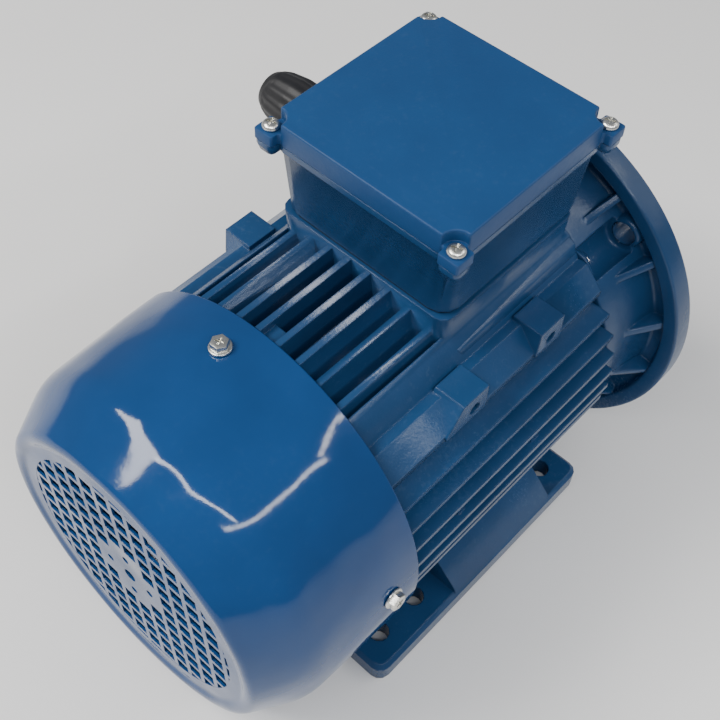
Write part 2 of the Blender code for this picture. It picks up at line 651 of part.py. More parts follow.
def grille_openings():
    """Square openings on a lattice, left out at the middle and past the rim."""
    disc = COWL_FACE + GRILLE_RECESS
    half = (GRILLE_PITCH - GRILLE_BAR) / 2
    limit = COWL_OUTER - COWL_TAPER - GRILLE_MARGIN
    hub = GRILLE_PITCH * 2.5
    rows = int(limit / GRILLE_PITCH) + 1
    shapes = []
    for row in range(-rows, rows):
        for column in range(-rows, rows):
            y = (column + 0.5) * GRILLE_PITCH
            z = (row + 0.5) * GRILLE_PITCH
            if math.hypot(abs(y) + half, abs(z) + half) > limit or abs(y) + abs(z) < hub:
                continue
            shapes.append(block((disc - 2 * mm, disc + COWL_WALL + 2 * mm), (y - half, y + half),
                                (z - half, z + half)))
    return joined(shapes)


def make_cowl(parent):
    cowl = add_piece("fan_cowl", turned(cowl_profile()[1:], LARGE, solid=True), "cowl_paint", parent)
    cut(cowl, grille_openings(), "grille")
    cut(cowl, spread(cowl_screw_hole, cowl_screw_angles()), "screw_holes")
    for number, angle in enumerate(cowl_screw_angles(), 1):
        shape = screw(COWL_SCREW, 10.0 * mm)
        aimed(shape, (0, 0, 1), (FRAME_BACK - COWL_SCREW_STATION, 0, COWL_OUTER + GAP))
        bmesh.ops.rotate(shape, verts=shape.verts, cent=(0, 0, 0), matrix=Matrix.Rotation(angle, 3, 'X'))
        add_piece("cowl_screw_%d" % number, shape, "zinc", parent)


# ---- tie bolts ----

def make_tie_bolts(parent):
    reach = SHIELD_THICKNESS + FRAME_LENGTH + EAR_THICKNESS - 3.5 * mm
    for number, (y, z) in enumerate(TIE_PLACES, 1):
        shape = aimed(screw(TIE_BOLT, reach), (-1, 0, 0), (SHIELD_BACK - GAP, y, z))
        add_piece("tie_bolt_%d" % number, shape, "zinc", parent)


# ---- feet ----

def make_foot(name, side, parent):
    outer = FOOT_SPAN / 2
    inner = outer - FOOT_WIDTH
    length = FOOT_ENDS[1] - FOOT_ENDS[0]
    middle = (sum(FOOT_ENDS) / 2, side * (outer + inner) / 2)
    top = -SHAFT_HEIGHT + FOOT_PLATE
    edge = 2.0 * mm
    plate = lofted([(-SHAFT_HEIGHT, rounded(length, FOOT_WIDTH, 6.0 * mm, 3, middle)),
                    (top - edge, rounded(length, FOOT_WIDTH, 6.0 * mm, 3, middle)),
                    (top, rounded(length - 2 * edge, FOOT_WIDTH - 2 * edge, 4.5 * mm, 3, middle))])
    foot = add_piece(name, plate, "blue_paint", parent)
    crest = -PAD_LEVEL - GAP
    section = [(inner + 1.0 * mm, top - 3.0 * mm), (outer - 0.6 * mm, top - 3.0 * mm),
               (outer - 1.6 * mm, top + 2.5 * mm), (PAD_SIDE + 1.0 * mm, crest), (inner + 1.0 * mm, crest)]
    fuse(foot, prism([(side * y, z) for y, z in section], FOOT_BLOCK[0], FOOT_BLOCK[1], "x"), "block")
    under = -SHAFT_HEIGHT - 3 * mm
    bolts = [(station, side * FOOT_HOLE_SPAN / 2) for station in FOOT_HOLES]
    cut(foot, uprights(bolts, FOOT_HOLE, under, under + FOOT_PLATE + 6 * mm, 12), "bolt_holes")
    screws = [(station, side * FOOT_SCREW_PLACE) for station in PAD_STATIONS]
    cut(foot, uprights(screws, FOOT_SCREW[1] + 1 * mm, under, FOOT_SCREW_SEAT, 12), "screw_pockets")
    cut(foot, uprights(screws, FOOT_SCREW[0] + HOLE_CLEARANCE, under, 0, 12), "screw_holes")


def make_feet(parent):
    make_foot("foot_left", 1, parent)
    make_foot("foot_right", -1, parent)
    seat = FOOT_SCREW_SEAT - GAP
    reach = -PAD_LEVEL + PAD_DRILL - 2.0 * mm - seat
    for number, (x, y) in enumerate(FOOT_SCREW_PLACES, 1):
        shape = aimed(screw(FOOT_SCREW, reach), (0, 0, -1), (x, y, seat))
        add_piece("foot_screw_%d" % number, shape, "zinc", parent)


# ---- stator ----

def slot_corners(turn, count, inner, outer, opening, floor, shrink):
    """Four corners of a radial slot, as (y, z), narrower by the shrink on each side."""
    middle = 2 * math.pi * turn / count
    corners = []
    for radius, half in ((inner, opening), (outer, floor), (outer, -floor), (inner, -opening)):
        across = half - math.copysign(shrink, half)
        corners.append((radius * math.cos(middle) - across * math.sin(middle),
                        radius * math.sin(middle) + across * math.cos(middle)))
    return corners


def toothed(count, radius, depth, opening, floor):
    """Slotted circle: an outline that steps to the depth at each slot."""
    points = []
    for turn in range(count):
        a, b, c, d = slot_corners(turn, count, radius, radius + depth, opening, floor, 0)
        points += [d, c, b, a]
    return points


def make_stator(parent):
    core = add_piece("stator_core", rod(BORE_RADIUS - GAP, CORE_BACK, CORE_FRONT, LARGE),
                     "lamination", parent)
    teeth = prism(toothed(STATOR_SLOTS, AIR_BORE, STATOR_SLOT_DEPTH, *STATOR_SLOT),
                  CORE_BACK - 5 * mm, CORE_FRONT + 5 * mm, "x")
    cut(core, teeth, "slots")
    inner = AIR_BORE + 2.0 * mm
    outer = AIR_BORE + STATOR_SLOT_DEPTH + 2.0 * mm
    lift = 2.0 * mm
    rings = []
    for face, way in ((CORE_FRONT, 1), (CORE_BACK, -1)):
        base = face + way * lift
        tip = face + way * (lift + END_TURN)
        rings.append(turned([(base, inner + 0.5 * mm), (base, outer - 1.5 * mm), (base + way * 5 * mm, outer),
                             (tip - way * 4 * mm, outer), (tip, outer - 4 * mm), (tip, inner + 3 * mm),
                             (tip - way * 4 * mm, inner)], STATOR_SLOTS))
    winding = add_piece("stator_winding", rings[0], "copper", parent)
    bars = []
    for turn in range(STATOR_SLOTS):
        outline = slot_corners(turn, STATOR_SLOTS, inner + 1.0 * mm, AIR_BORE + STATOR_SLOT_DEPTH - 0.5 * mm,
                               *STATOR_SLOT, SLOT_LINER)
        bars.append(prism(outline, CORE_BACK - lift - 1.5 * mm, CORE_FRONT + lift + 1.5 * mm, "x"))
    fuse(winding, joined(bars), "slot_sides")
    fuse(winding, rings[1], "fan_end_turns")


# ---- rotor ----

def shaft_profile():
    drive_shoulder = DRIVE_BEARING - BEARING_WIDTH - GAP
    fan_shoulder = FAN_BEARING_FACE + GAP
    fan_seat = POCKET_END - 6.0 * mm
    return [
        (SHAFT_BACK, 0), (SHAFT_BACK, FAN_SEAT_RADIUS),
        (CLIP_FACE, FAN_SEAT_RADIUS), (CLIP_FACE, FAN_SEAT_RADIUS - 1 * mm),
        (CLIP_FACE + 1.8 * mm, FAN_SEAT_RADIUS - 1 * mm), (CLIP_FACE + 1.8 * mm, FAN_SEAT_RADIUS),
        (fan_seat, FAN_SEAT_RADIUS), (fan_seat, JOURNAL_RADIUS), (fan_shoulder, JOURNAL_RADIUS),
        (fan_shoulder, SHOULDER_RADIUS), (CORE_BACK - 4 * mm, SHOULDER_RADIUS),
        (CORE_BACK - 4 * mm, CORE_SEAT_RADIUS),
        (CORE_FRONT + 4 * mm, CORE_SEAT_RADIUS), (CORE_FRONT + 4 * mm, SHOULDER_RADIUS),
        (drive_shoulder, SHOULDER_RADIUS), (drive_shoulder, JOURNAL_RADIUS),
        (0, JOURNAL_RADIUS), (0, SHAFT_RADIUS), (SHAFT_LENGTH - 1.2 * mm, SHAFT_RADIUS),
        (SHAFT_LENGTH, SHAFT_RADIUS - 1.2 * mm), (SHAFT_LENGTH, 3.0 * mm), (SHAFT_LENGTH - 6 * mm, 0),
    ]


def key_outline(grow):
    return rounded(KEY_LENGTH + 2 * grow, KEY_WIDTH + 2 * grow, KEY_WIDTH / 2 + grow - 0.01 * mm, 4,
                   (SHAFT_LENGTH / 2, 0.0))


def make_rotor(parent):
    shaft = add_piece("rotor_shaft", turned(shaft_profile(), MEDIUM, solid=True), "bright_steel", parent)
    floor = SHAFT_RADIUS - KEY_SEAT
    cut(shaft, prism(key_outline(GAP), floor, SHAFT_RADIUS + 5 * mm, "z"), "keyway")
    add_piece("shaft_key", prism(key_outline(0), floor + GAP, floor + GAP + KEY_HEIGHT, "z"),
              "bright_steel", parent, smooth=False)
    core = add_piece("rotor_core", tube(CORE_SEAT_RADIUS + GAP, ROTOR_RADIUS, CORE_BACK, CORE_FRONT, LARGE),
                     "lamination", parent)
    bottom = ROTOR_RADIUS - ROTOR_SLOT_DEPTH
    grooves = []
    bars = []
    for turn in range(ROTOR_SLOTS):
        slot = slot_corners(turn + 0.5, ROTOR_SLOTS, ROTOR_RADIUS + 1 * mm, bottom, *ROTOR_SLOT, 0)
        grooves.append(prism(slot, CORE_BACK - 5 * mm, CORE_FRONT + 5 * mm, "x"))
        bar = slot_corners(turn + 0.5, ROTOR_SLOTS, ROTOR_RADIUS - 1 * mm, bottom + GAP, *ROTOR_SLOT, GAP)
        bars.append(prism(bar, CORE_BACK - 2.5 * mm, CORE_FRONT + 2.5 * mm, "x"))
    cut(core, joined(grooves), "slots")
    radii = (bottom - 3 * mm, ROTOR_RADIUS - 0.5 * mm)
    front = tube(*radii, CORE_FRONT + GAP, CORE_FRONT + GAP + END_RING, ROTOR_SLOTS)
    back = tube(*radii, CORE_BACK - GAP - END_RING, CORE_BACK - GAP, ROTOR_SLOTS)
    cage = add_piece("rotor_cage", front, "cast_aluminium", parent)
    fuse(cage, joined(bars), "bars")
    fuse(cage, back, "fan_end_ring")


# ---- bearings, seal and spring ----

def make_bearing(label, face, housing, rotor, cage_axis):
    """A ball bearing in three pieces; the face is its drive side."""
    back = face - BEARING_WIDTH
    outer = BEARING_RADIUS - GAP
    inner = JOURNAL_RADIUS + GAP
    add_piece(label + "_bearing_outer_ring", tube(outer - BEARING_RING, outer, back, face, MEDIUM),
              "bright_steel", housing)
    add_piece(label + "_bearing_inner_ring", tube(inner, inner + BEARING_RING, back, face, MEDIUM),
              "bright_steel", rotor)
    ball = (BEARING_RADIUS - JOURNAL_RADIUS) / 2 - GAP - BEARING_RING - 0.45 * mm
    ring = tube(BALL_PITCH - 0.9 * mm, BALL_PITCH + 0.9 * mm, -5.0 * mm, 5.0 * mm, BALL_COUNT)
    cage = add_piece(label + "_bearing_ball_cage", ring, "brass", cage_axis)
    turns = [2 * math.pi * number / BALL_COUNT for number in range(BALL_COUNT)]
    fuse(cage, spread(lambda: placed_ball(ball), turns), "balls")


def placed_ball(radius):
    shape = bmesh.new()
    bmesh.ops.create_uvsphere(shape, u_segments=6, v_segments=4, radius=radius)
    bmesh.ops.rotate(shape, verts=shape.verts, cent=(0, 0, 0), matrix=Matrix.Rotation(math.pi / 2, 3, 'Y'))
    bmesh.ops.translate(shape, verts=shape.verts, vec=(0, 0, BALL_PITCH))
    return shape


def make_wave_spring(parent):
    """A wavy washer that presses the fan end bearing towards the drive end."""
    outer = BEARING_RADIUS - 1.5 * mm
    shape = tube(outer - 4.0 * mm, outer, SPRING_FACE - 0.8 * mm, SPRING_FACE, 24)
    swing = (SPRING_WIDTH - 0.8 * mm) / 2
    for vert in shape.verts:
        angle = math.atan2(vert.co.z, vert.co.y)
        vert.co.x -= swing * (1 + math.cos(3 * angle))
    add_piece("wave_spring", shape, "bright_steel", parent)


def make_seal(parent):
    lip = JOURNAL_RADIUS + GAP
    front = SEAL_BACK + SEAL_WIDTH
    shape = turned([(SEAL_BACK, lip + 3.0 * mm), (SEAL_BACK, SEAL_RADIUS), (front, SEAL_RADIUS),
                    (front, lip + 3.0 * mm), (front - 1.5 * mm, lip), (front - 3.0 * mm, lip),
                    (front - 4.0 * mm, lip + 2.0 * mm)], MEDIUM)
    add_piece("shaft_seal", shape, "black_rubber", parent)


# ---- fan ----

def fan_blade():
    back = FAN_FACE - FAN_WIDTH
    tip = FAN_RADIUS - 1.0 * mm
    outline = [(FAN_FACE - 2.0 * mm, FAN_SEAT_RADIUS + 12 * mm), (FAN_FACE - 2.0 * mm, tip),
               (back + 8 * mm, tip), (back, tip - 7.0 * mm), (back, FAN_SEAT_RADIUS + 18 * mm)]
    return prism(outline, -1.2 * mm, 1.2 * mm, "y")


def make_fan(parent):
    hub = FAN_SEAT_RADIUS + 6.0 * mm
    shape = turned([(FAN_FACE, FAN_SEAT_RADIUS + GAP), (FAN_FACE, FAN_RADIUS),
                    (FAN_FACE - 3.0 * mm, FAN_RADIUS), (FAN_FACE - 4.0 * mm, hub + 8.0 * mm),
                    (FAN_FACE - FAN_WIDTH, hub),
                    (FAN_FACE - FAN_WIDTH, FAN_SEAT_RADIUS + GAP)], MEDIUM)
    fan = add_piece("cooling_fan", shape, "black_plastic", parent)
    turns = [2 * math.pi * number / FAN_BLADES for number in range(FAN_BLADES)]
    fuse(fan, spread(fan_blade, turns), "blades")
    inner = FAN_SEAT_RADIUS - 1.0 * mm + GAP
    clip = add_piece("fan_circlip", tube(inner, inner + 3.5 * mm, CLIP_FACE + GAP, CLIP_FACE + 1.5 * mm, 24),
                     "bright_steel", parent)
    mouth = block((CLIP_FACE - 3 * mm, CLIP_FACE + 5 * mm), (-2.5 * mm, 2.5 * mm), (0, 2 * inner))
    cut(clip, mouth, "opening")


# ---- terminal box ----

def box_outline(inset, radius=BOX_CORNER):
    """Outline of the box, smaller than the lid by the inset on each side."""
    return rounded(LID_LENGTH - 2 * inset, LID_WIDTH - 2 * inset, radius, 3, (BOX_CENTRE, 0.0))


def ears(sections):
    """Square ears round the lid screws; each section is (z, half width)."""
    shapes = []
    for place in LID_SCREW_PLACES:
        shapes.append(lofted([(level, rounded(2 * half, 2 * half, half * 0.5, 2, place))
                              for level, half in sections]))
    return joined(shapes)


def make_box(parent):
    foot = BOX_STEP + BOX_DRAFT
    outer = lofted([(BOX_BOTTOM, box_outline(foot)), (BOX_TOP - BOX_RIM - 2 * mm, box_outline(BOX_STEP)),
                    (BOX_TOP - BOX_RIM, box_outline(0)), (BOX_TOP, box_outline(0))])
    box = add_piece("terminal_box", outer, "blue_paint", parent)
    fuse(box, ears([(BOX_TOP - EAR_DROP, EAR_HALF * 0.3), (BOX_TOP - EAR_DROP + 3.0 * mm, EAR_HALF * 0.85),
                    (BOX_TOP - 2.5 * mm, EAR_HALF), (BOX_TOP, EAR_HALF)]), "ears")
    level = (GLAND_STATION, 0, GLAND_LEVEL)
    boss = rod(GLAND_RADIUS + 1.2 * mm, LID_WIDTH / 2 - 8 * mm, GLAND_SEAT - GAP, 16)
    fuse(box, aimed(boss, (0, 1, 0), level), "gland_boss")
    well = lofted([(FLOOR, box_outline(foot + BOX_WALL)),
                   (BOX_TOP + 3 * mm, box_outline(BOX_STEP + BOX_WALL, BOX_CORNER + 1 * mm))])
    cut(box, well, "well")
    cut(box, lead_slot(BOX_BOTTOM - 3 * mm, FLOOR + 3 * mm), "lead_slot")
    cut(box, uprights(LID_SCREW_PLACES, LID_SCREW[0] + HOLE_CLEARANCE,
                      BOX_TOP - EAR_DROP + 1.5 * mm, BOX_TOP + 3 * mm), "lid_threads")
    places = BOX_SCREW_PLACES + BOARD_SCREW_PLACES + [EARTH_PLACE]
    cut(box, uprights(places, BOX_SCREW[0] + HOLE_CLEARANCE, BOX_BOTTOM - 3 * mm, FLOOR + 3 * mm),
        "floor_holes")
    entry = rod(GLAND_THREAD + GAP, LID_WIDTH / 2 - 15 * mm, LID_WIDTH / 2 + 15 * mm, 16)
    cut(box, aimed(entry, (0, 1, 0), level), "gland_hole")
    gasket = add_piece("box_gasket", prism(box_outline(foot + 0.5 * mm), BOX_FLOOR_LEVEL + GAP,
                                           BOX_BOTTOM - GAP, "z"), "black_rubber", parent, smooth=False)
    cut(gasket, prism(box_outline(foot + 6.5 * mm, 6 * mm), BOX_FLOOR_LEVEL - 2 * mm,
                      BOX_BOTTOM + 2 * mm, "z"), "window")


def make_lid(parent):
    edge = 1.2 * mm
    plate = lofted([(LID_BOTTOM, box_outline(0, LID_CORNER)), (LID_TOP - edge, box_outline(0, LID_CORNER)),
                    (LID_TOP, box_outline(edge, LID_CORNER))])
    lid = add_piece("terminal_box_lid", plate, "blue_paint", parent)
    fuse(lid, ears([(LID_BOTTOM, EAR_HALF), (LID_SEAT + 0.5 * mm, EAR_HALF)]), "ears")
    cut(lid, uprights(LID_SCREW_PLACES, LID_NOTCH, LID_SEAT, LID_TOP + 3 * mm, 12), "notches")
    inner = BOX_STEP + BOX_WALL
    hollow = prism(box_outline(inner + 2 * mm), LID_BOTTOM - 3 * mm, LID_TOP - 3.0 * mm, "z")
    cut(lid, hollow, "hollow")
    cut(lid, uprights(LID_SCREW_PLACES, LID_SCREW[0] + HOLE_CLEARANCE,
                      LID_BOTTOM - 3 * mm, LID_TOP + 3 * mm), "screw_holes")
    outline = box_outline(inner - GASKET_WIDTH)
    gasket = add_piece("lid_gasket", prism(outline, BOX_TOP + GAP, LID_BOTTOM - GAP, "z"),
                       "black_rubber", parent, smooth=False)
    cut(gasket, prism(box_outline(inner), BOX_TOP - 2 * mm, LID_BOTTOM + 2 * mm, "z"), "window")
    reach = LID_EDGE + LID_BOTTOM - BOX_TOP + EAR_DROP - 3.0 * mm
    for number, (x, y) in enumerate(LID_SCREW_PLACES, 1):
        shape = aimed(screw(LID_SCREW, reach), (0, 0, 1), (x, y, LID_SEAT + GAP))
        add_piece("lid_screw_%d" % number, shape, "zinc", parent)


def make_terminals(parent):
    outline = rounded(BOARD[0], BOARD[1], 4 * mm, 2, (BOARD_CENTRE, 0.0))
    board = add_piece("terminal_board", prism(outline, BOARD_LEVEL, BOARD_TOP, "z"), "phenolic", parent)
    fuse(board, uprights(BOARD_SCREW_PLACES, 4.0 * mm, FLOOR + GAP, BOARD_LEVEL + 1 * mm, 10), "pillars")
    cut(board, uprights(BOARD_SCREW_PLACES + STUD_PLACES, BOX_SCREW[0] + HOLE_CLEARANCE,
                        FLOOR - 3 * mm, BOARD_TOP + 3 * mm), "holes")
    for number, (x, y) in enumerate(BOARD_SCREW_PLACES, 1):
        shape = aimed(screw(BOX_SCREW, 13 * mm), (0, 0, 1), (x, y, BOARD_TOP + GAP))
        add_piece("board_screw_%d" % number, shape, "zinc", parent)
    for number, (x, y) in enumerate(BOX_SCREW_PLACES, 1):
        shape = aimed(screw(BOX_SCREW, 12 * mm), (0, 0, 1), (x, y, FLOOR + GAP))
        add_piece("box_screw_%d" % number, shape, "zinc", parent)
    earth = aimed(screw(BOX_SCREW, 3.0 * mm), (0, 0, 1), (*EARTH_PLACE, FLOOR + GAP))
    add_piece("earth_screw", earth, "brass", parent)
    make_studs(parent)


def make_studs(parent):
    """Six studs in two rows, and three bars that join each pair across the rows."""
    radius, nut, height = STUD
    seat = LINK_LEVEL + LINK_THICKNESS + GAP
    top = seat + height + 5 * mm
    for number, (x, y) in enumerate(STUD_PLACES, 1):
        shape = turned([(BOARD_LEVEL - 2.2 * mm, 0), (BOARD_LEVEL - 2.2 * mm, nut), (BOARD_LEVEL - GAP, nut),
                        (BOARD_LEVEL - GAP, radius), (seat, radius), (seat, nut), (seat + height, nut),
                        (seat + height, radius), (top, radius), (top, 0)], 6, solid=True)
        add_piece("terminal_stud_%d" % number, aimed(shape, (0, 0, 1), (x, y, 0)), "brass", parent)
    for number in range(3):
        x, y = STUD_PLACES[number]
        outline = rounded(9 * mm, STUD_PITCH + 9 * mm, 4.4 * mm, 3, (x, 0.0))
        bar = add_piece("link_bar_%d" % (number + 1),
                        prism(outline, LINK_LEVEL, LINK_LEVEL + LINK_THICKNESS, "z"), "brass", parent)
        cut(bar, uprights([(x, y), (x, -y)], radius + HOLE_CLEARANCE,
                          LINK_LEVEL - 5 * mm, LINK_LEVEL + 5 * mm), "holes")


def make_leads(parent):
    """Sleeved bundle of leads from the drive end turns up into the terminal box."""
    start = Vector((LEAD_STATION, 0, AIR_BORE + STATOR_SLOT_DEPTH + 2.0 * mm + GAP))
    end = Vector((BOARD_CENTRE + BOARD[0] / 2 + GAP, 0, BOARD_LEVEL + BOARD[2] / 2))
    turn = Vector((LEAD_STATION, 0, end.z))
    curve = bpy.data.curves.new("lead_bundle", 'CURVE')
    curve.dimensions = '3D'
    curve.bevel_depth = 2.5 * mm
    curve.bevel_resolution = 1
    curve.use_fill_caps = True
    line = curve.splines.new('POLY')
    count = 8
    knee = start.lerp(turn, 0.55)
    bend = end + Vector((1.0 * mm, 0, 0))
    points = [start]
    for step in range(count + 1):
        t = step / count
        points.append(knee * (1 - t) ** 2 + turn * 2 * t * (1 - t) + bend * t ** 2)
    points.append(end)
    line.points.add(len(points) - 1)
    for point, place in zip(line.points, points):
        point.co = (*place, 1.0)
    curve.materials.append(make_material("lead_bundle_sleeve", *FINISHES["lead_sleeve"]))
    lead = bpy.data.objects.new("lead_bundle", curve)
    lead.parent = parent
    bpy.context.scene.collection.objects.link(lead)


# ---- cable gland ----

def make_gland(parent):
    place = (GLAND_STATION, 0, GLAND_LEVEL)
    hexagon = GLAND_SEAT + GLAND_HEXAGON
    thread_end = hexagon + 8 * mm
    body = turned([(GLAND_SEAT - 11 * mm, GLAND_BORE), (GLAND_SEAT - 11 * mm, GLAND_THREAD),
                   (GLAND_SEAT, GLAND_THREAD), (GLAND_SEAT, GLAND_RADIUS), (hexagon, GLAND_RADIUS),
                   (hexagon, GLAND_THREAD), (thread_end, GLAND_THREAD), (thread_end, GLAND_BORE)], 12)
    add_piece("gland_body", aimed(body, (0, 1, 0), place), "black_plastic", parent)
    start = hexagon + GAP
    end = GLAND_SEAT + GLAND_REACH
    nut = turned([(start, GLAND_THREAD + GAP), (start, GLAND_RADIUS), (end - 12 * mm, GLAND_RADIUS),
                  (end - 5 * mm, GLAND_RADIUS - 2.0 * mm), (end, GLAND_BORE + 1.5 * mm), (end, GLAND_BORE),
                  (end - 4 * mm, GLAND_BORE), (end - 4 * mm, GLAND_THREAD + GAP)], 12)
    add_piece("gland_dome_nut", aimed(nut, (0, 1, 0), place), "black_plastic", parent)
    seal = tube(GLAND_BORE, GLAND_THREAD - 0.2 * mm, thread_end + GAP, end - 4 * mm - GAP, 12)
    add_piece("gland_seal", aimed(seal, (0, 1, 0), place), "black_rubber", parent)


def main():
    clear_scene()
    motor = add_axis("motor", ((OVERALL_LENGTH / 2) - SHAFT_LENGTH, 0, FLANGE_RADIUS))
    rotor = add_axis("rotor_axis", (0, 0, 0), motor)
    drive_cage = add_axis("drive_cage_axis", (DRIVE_BEARING - BEARING_WIDTH / 2, 0, 0), motor)
    fan_cage = add_axis("fan_cage_axis", (FAN_BEARING_FACE - BEARING_WIDTH / 2, 0, 0), motor)
    make_frame(motor)
    make_flange(motor)
    make_fan_end_shield(motor)
    make_cowl(motor)
    make_tie_bolts(motor)
    make_feet(motor)
    make_stator(motor)
    make_rotor(rotor)
    make_bearing("drive_end", DRIVE_BEARING, motor, rotor, drive_cage)
    make_bearing("fan_end", FAN_BEARING_FACE, motor, rotor, fan_cage)
    make_wave_spring(motor)
    make_seal(motor)
    make_fan(rotor)
    make_box(motor)
    make_lid(motor)
    make_terminals(motor)
    make_leads(motor)
    make_gland(motor)
    bpy.context.view_layer.update()


main()
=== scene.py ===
# Electric motor with a foot and flange mounting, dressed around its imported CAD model.
import math

import bmesh
import bpy
from mathutils import Matrix, Vector


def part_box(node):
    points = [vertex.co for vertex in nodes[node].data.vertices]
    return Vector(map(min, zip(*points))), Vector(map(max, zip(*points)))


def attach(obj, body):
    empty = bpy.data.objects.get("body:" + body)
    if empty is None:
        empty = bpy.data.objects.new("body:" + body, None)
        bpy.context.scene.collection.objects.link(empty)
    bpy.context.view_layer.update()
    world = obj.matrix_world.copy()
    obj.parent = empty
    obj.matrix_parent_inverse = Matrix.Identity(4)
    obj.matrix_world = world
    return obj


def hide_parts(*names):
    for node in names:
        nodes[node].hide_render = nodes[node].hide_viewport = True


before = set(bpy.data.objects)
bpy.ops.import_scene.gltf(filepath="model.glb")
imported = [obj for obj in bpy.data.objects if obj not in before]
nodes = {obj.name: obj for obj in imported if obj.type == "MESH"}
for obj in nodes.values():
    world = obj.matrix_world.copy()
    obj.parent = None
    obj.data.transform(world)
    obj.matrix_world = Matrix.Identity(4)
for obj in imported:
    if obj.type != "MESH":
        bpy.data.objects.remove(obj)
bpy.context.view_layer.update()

# pieces are modelled in millimetres about the shaft, x = 0 at the flange's mounting face
spigotHeight = 0.0035
flangeRadius = 0.1
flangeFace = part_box("drive_end_flange")[1].x - spigotHeight
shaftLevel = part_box("drive_end_flange")[1].z - flangeRadius
toWorld = Matrix.Translation((flangeFace, 0, shaftLevel)) @ Matrix.Scale(0.001, 4)


# materials

# a node socket that takes part in sums
class Sock:

    def __init__(self, tree, socket):
        self.tree = tree
        self.socket = socket

    def maths(self, operation, *values):
        return self.tree.add("ShaderNodeMath", {"operation": operation}, dict(enumerate(values)))

    def __add__(self, other):
        return self.maths("ADD", self, other)

    def __radd__(self, other):
        return self.maths("ADD", other, self)

    def __sub__(self, other):
        return self.maths("SUBTRACT", self, other)

    def __rsub__(self, other):
        return self.maths("SUBTRACT", other, self)

    def __mul__(self, other):
        return self.maths("MULTIPLY", self, other)

    def __rmul__(self, other):
        return self.maths("MULTIPLY", other, self)


# a material and the nodes in it
class Finish:

    def __init__(self, name, constants):
        self.material = bpy.data.materials.new(name)
        self.material.use_nodes = True
        self.nodes = self.material.node_tree.nodes
        self.links = self.material.node_tree.links
        self.shader = self.nodes["Principled BSDF"]
        for socket, value in constants.items():
            self.shader.inputs[socket].default_value = value
        self.place = self.add("ShaderNodeTexCoord", {}, {}, "Object")

    def add(self, kind, settings, inputs, output=0):
        node = self.nodes.new(kind)
        for key, value in settings.items():
            if key == "stops":
                ramp = node.color_ramp.elements
                while len(ramp) < len(value):
                    ramp.new(0.5)
                for element, (position, colour) in zip(ramp, value):
                    element.position = position
                    element.color = colour
            else:
                setattr(node, key, value)
        for key, value in inputs.items():
            if isinstance(value, Sock):
                self.links.new(value.socket, node.inputs[key])
            else:
                node.inputs[key].default_value = value
        return Sock(self, node.outputs[output])

    def noise(self, scale, detail=3.0, rough=0.55, output=0):
        return self.add("ShaderNodeTexNoise", {}, {"Vector": self.place, "Scale": scale, "Detail": detail,
                                                   "Roughness": rough}, output)

    def ramp(self, value, low, high):
        return self.add("ShaderNodeMapRange", {}, {"Value": value, "From Min": low, "From Max": high,
                                                   "To Min": 0.0, "To Max": 1.0})

    def mix(self, factor, first, second):
        return self.add("ShaderNodeMix", {"data_type": "RGBA"}, {0: factor, 6: first, 7: second}, 2)

    def give(self, socket, value):
        self.links.new(value.socket, self.shader.inputs[socket])

    def bump(self, height, distance, strength=1.0, normal=None):
        inputs = {"Height": height, "Distance": distance, "Strength": strength}
        if normal is not None:
            inputs["Normal"] = normal
        return self.add("ShaderNodeBump", {}, inputs)


# sprayed enamel: slow colour drift, dust, orange peel and softened edges
def paintFinish(name, look):
    finish = Finish(name, {"IOR": 1.5, "Specular IOR Level": look["specular"], "Coat Weight": look["coat"],
                           "Coat Roughness": look["coatRough"], "Metallic": 0.0})
    drift = finish.noise(look["driftScale"], 4.0)
    speck = finish.noise(look["speckScale"], 2.0)
    fine = finish.noise(look["grainScale"], 3.0, 0.6)
    colour = finish.mix(finish.ramp(drift, 0.35, 0.65), (*look["dark"], 1), (*look["light"], 1))
    dust = finish.ramp(speck * 0.6 + drift * 0.4, 0.56, 0.72) * look["dust"]
    finish.give("Base Color", finish.mix(dust, colour, (*look["dustColour"], 1)))
    finish.give("Roughness", drift * look["roughSwing"] + fine * 0.06 + look["rough"])
    edge = finish.add("ShaderNodeBevel", {"samples": 4}, {"Radius": look["edge"]})
    wavy = finish.bump(finish.noise(look["waveScale"], 1.0, 0.4), look["waveDepth"], 1.0, edge)
    finish.give("Normal", finish.bump(fine, look["grainDepth"], 1.0, wavy))
    return finish.material


# plated or ground metal with faint scratches and stains
def metalFinish(name, look):
    finish = Finish(name, {"Metallic": 1.0})
    stain = finish.noise(look["stainScale"], 4.0)
    scratch = finish.add("ShaderNodeTexNoise", {}, {
        "Vector": finish.add("ShaderNodeMapping", {}, {"Vector": finish.place, "Scale": look["stretch"]}),
        "Scale": look["scratchScale"], "Detail": 2.0})
    finish.give("Base Color", finish.mix(finish.ramp(stain, 0.35, 0.7),
                                         (*look["light"], 1), (*look["dark"], 1)))
    finish.give("Roughness", stain * 0.14 + scratch * 0.12 + look["rough"])
    finish.give("Normal", finish.bump(scratch, look["depth"]))
    return finish.material


# moulded plastic, rubber or resin with a fine grain
def plasticFinish(name, look):
    finish = Finish(name, {"Metallic": 0.0, "IOR": 1.48})
    cloud = finish.noise(look["cloudScale"], 3.0)
    grain = finish.noise(look["grainScale"], 2.0)
    finish.give("Base Color", finish.mix(finish.ramp(cloud, 0.3, 0.7),
                                         (*look["dark"], 1), (*look["light"], 1)))
    finish.give("Roughness", cloud * 0.12 + grain * 0.06 + look["rough"])
    finish.give("Normal", finish.bump(grain, look["depth"]))
    return finish.material


